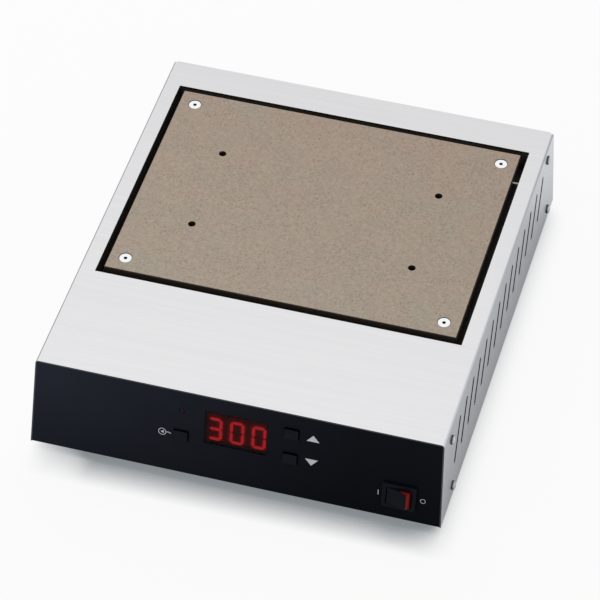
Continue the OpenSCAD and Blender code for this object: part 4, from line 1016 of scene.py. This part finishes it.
# %% Turning and placing the screws
axis = add(screw_tree, "GeometryNodeInputNamedAttribute", {"Name": "axis"}, data_type="FLOAT_VECTOR")
aim = add(screw_tree, "FunctionNodeAlignRotationToVector", {"Vector": axis.outputs[0]}, axis="Z").outputs[0]
angle = add(screw_tree, "FunctionNodeRandomValue", {"Max": math.pi, "Seed": given["Seed"]},
            data_type="FLOAT")
spin = add(screw_tree, "FunctionNodeAxisAngleToRotation", {"Axis": (0.0, 0.0, 1.0),
                                                           "Angle": angle.outputs[1]}).outputs[0]
aim = add(screw_tree, "FunctionNodeRotateRotation", {0: aim, 1: spin}, rotation_space="LOCAL").outputs[0]
driven = add(screw_tree, "GeometryNodeInstanceOnPoints", {"Points": given["Geometry"], "Rotation": aim,
                                                          "Instance": screw.outputs[0]}).outputs[0]
driven = add(screw_tree, "GeometryNodeRealizeInstances", {"Geometry": driven}).outputs[0]
driven = add(screw_tree, "GeometryNodeSetMaterial", {"Geometry": driven, "Material": given["Finish"]})
add(screw_tree, "NodeGroupOutput", {0: driven.outputs[0]})
print("tree with", len(screw_tree.nodes), "nodes")

# %% [markdown]
# Eight screws hold the cover, four in each leaning wall. Their heads stand square to the wall. They look
# a little smaller on the real object than their solids are, so the heads here have the smaller size.

# %% Places of the cover screws
WALL_LEAN = math.radians(2.2)
COVER_TOP_HALF = 145.0
SOLID_HEAD = 8.0
LOW_SCREW, FRONT_SCREW, REAR_SCREW = 15.2, 61.0, 64.0
cover_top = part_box("top_cover")[1].z / MM
first_y, last_y = (corner.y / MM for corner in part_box("cover_screws"))
front_y, rear_y = first_y + SOLID_HEAD / 2, last_y - SOLID_HEAD / 2
screw_places, screw_axes = [], []
for side in (-1, 1):
    for y, z in ((front_y, LOW_SCREW), (front_y, FRONT_SCREW), (rear_y, LOW_SCREW), (rear_y, REAR_SCREW)):
        wall_x = COVER_TOP_HALF + (cover_top - z) * math.tan(WALL_LEAN)
        screw_places.append(Vector((side * wall_x, y, z)) * MM)
        screw_axes += [side * math.cos(WALL_LEAN), 0.0, math.sin(WALL_LEAN)]
print(len(screw_places), "screws, rows at", round(front_y, 1), "and", round(rear_y, 1), "mm")

# %% Cover screws
HEAD_WIDE, HEAD_HIGH = 7.0, 2.2
THREAD, SHANK = 4.0, 6.2
SEED = 3
HEAD_SHARP = math.radians(40)
places_mesh = bpy.data.meshes.new("cover_pan_screws")
places_mesh.from_pydata(screw_places, [], [])
places_mesh.attributes.new("axis", "FLOAT_VECTOR", "POINT").data.foreach_set("vector", screw_axes)
screws = bpy.data.objects.new("cover_pan_screws_places", places_mesh)
scene.collection.objects.link(screws)
modifier = screws.modifiers.new("drive", "NODES")
modifier.node_group = screw_tree
for label, value in (("Head", head), ("Head diameter", HEAD_WIDE * MM), ("Head height", HEAD_HIGH * MM),
                     ("Thread diameter", THREAD * MM), ("Length", SHANK * MM), ("Seed", SEED),
                     ("Finish", nickel)):
    modifier[sockets[label].identifier] = value
screws = plain(screws, "cover_pan_screws")
screws.data.shade_smooth()
screws.data.set_sharp_from_angle(angle=HEAD_SHARP)
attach(screws, "housing")
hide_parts("cover_screws")
print(screws.name, len(screws.data.polygons), "faces")

# %% [markdown]
# ## Size and tidying up
# The dressed object stays about as large as the solids. It is a little narrower at the smaller screw heads.

# %% Removing the spare head
bpy.data.objects.remove(head)
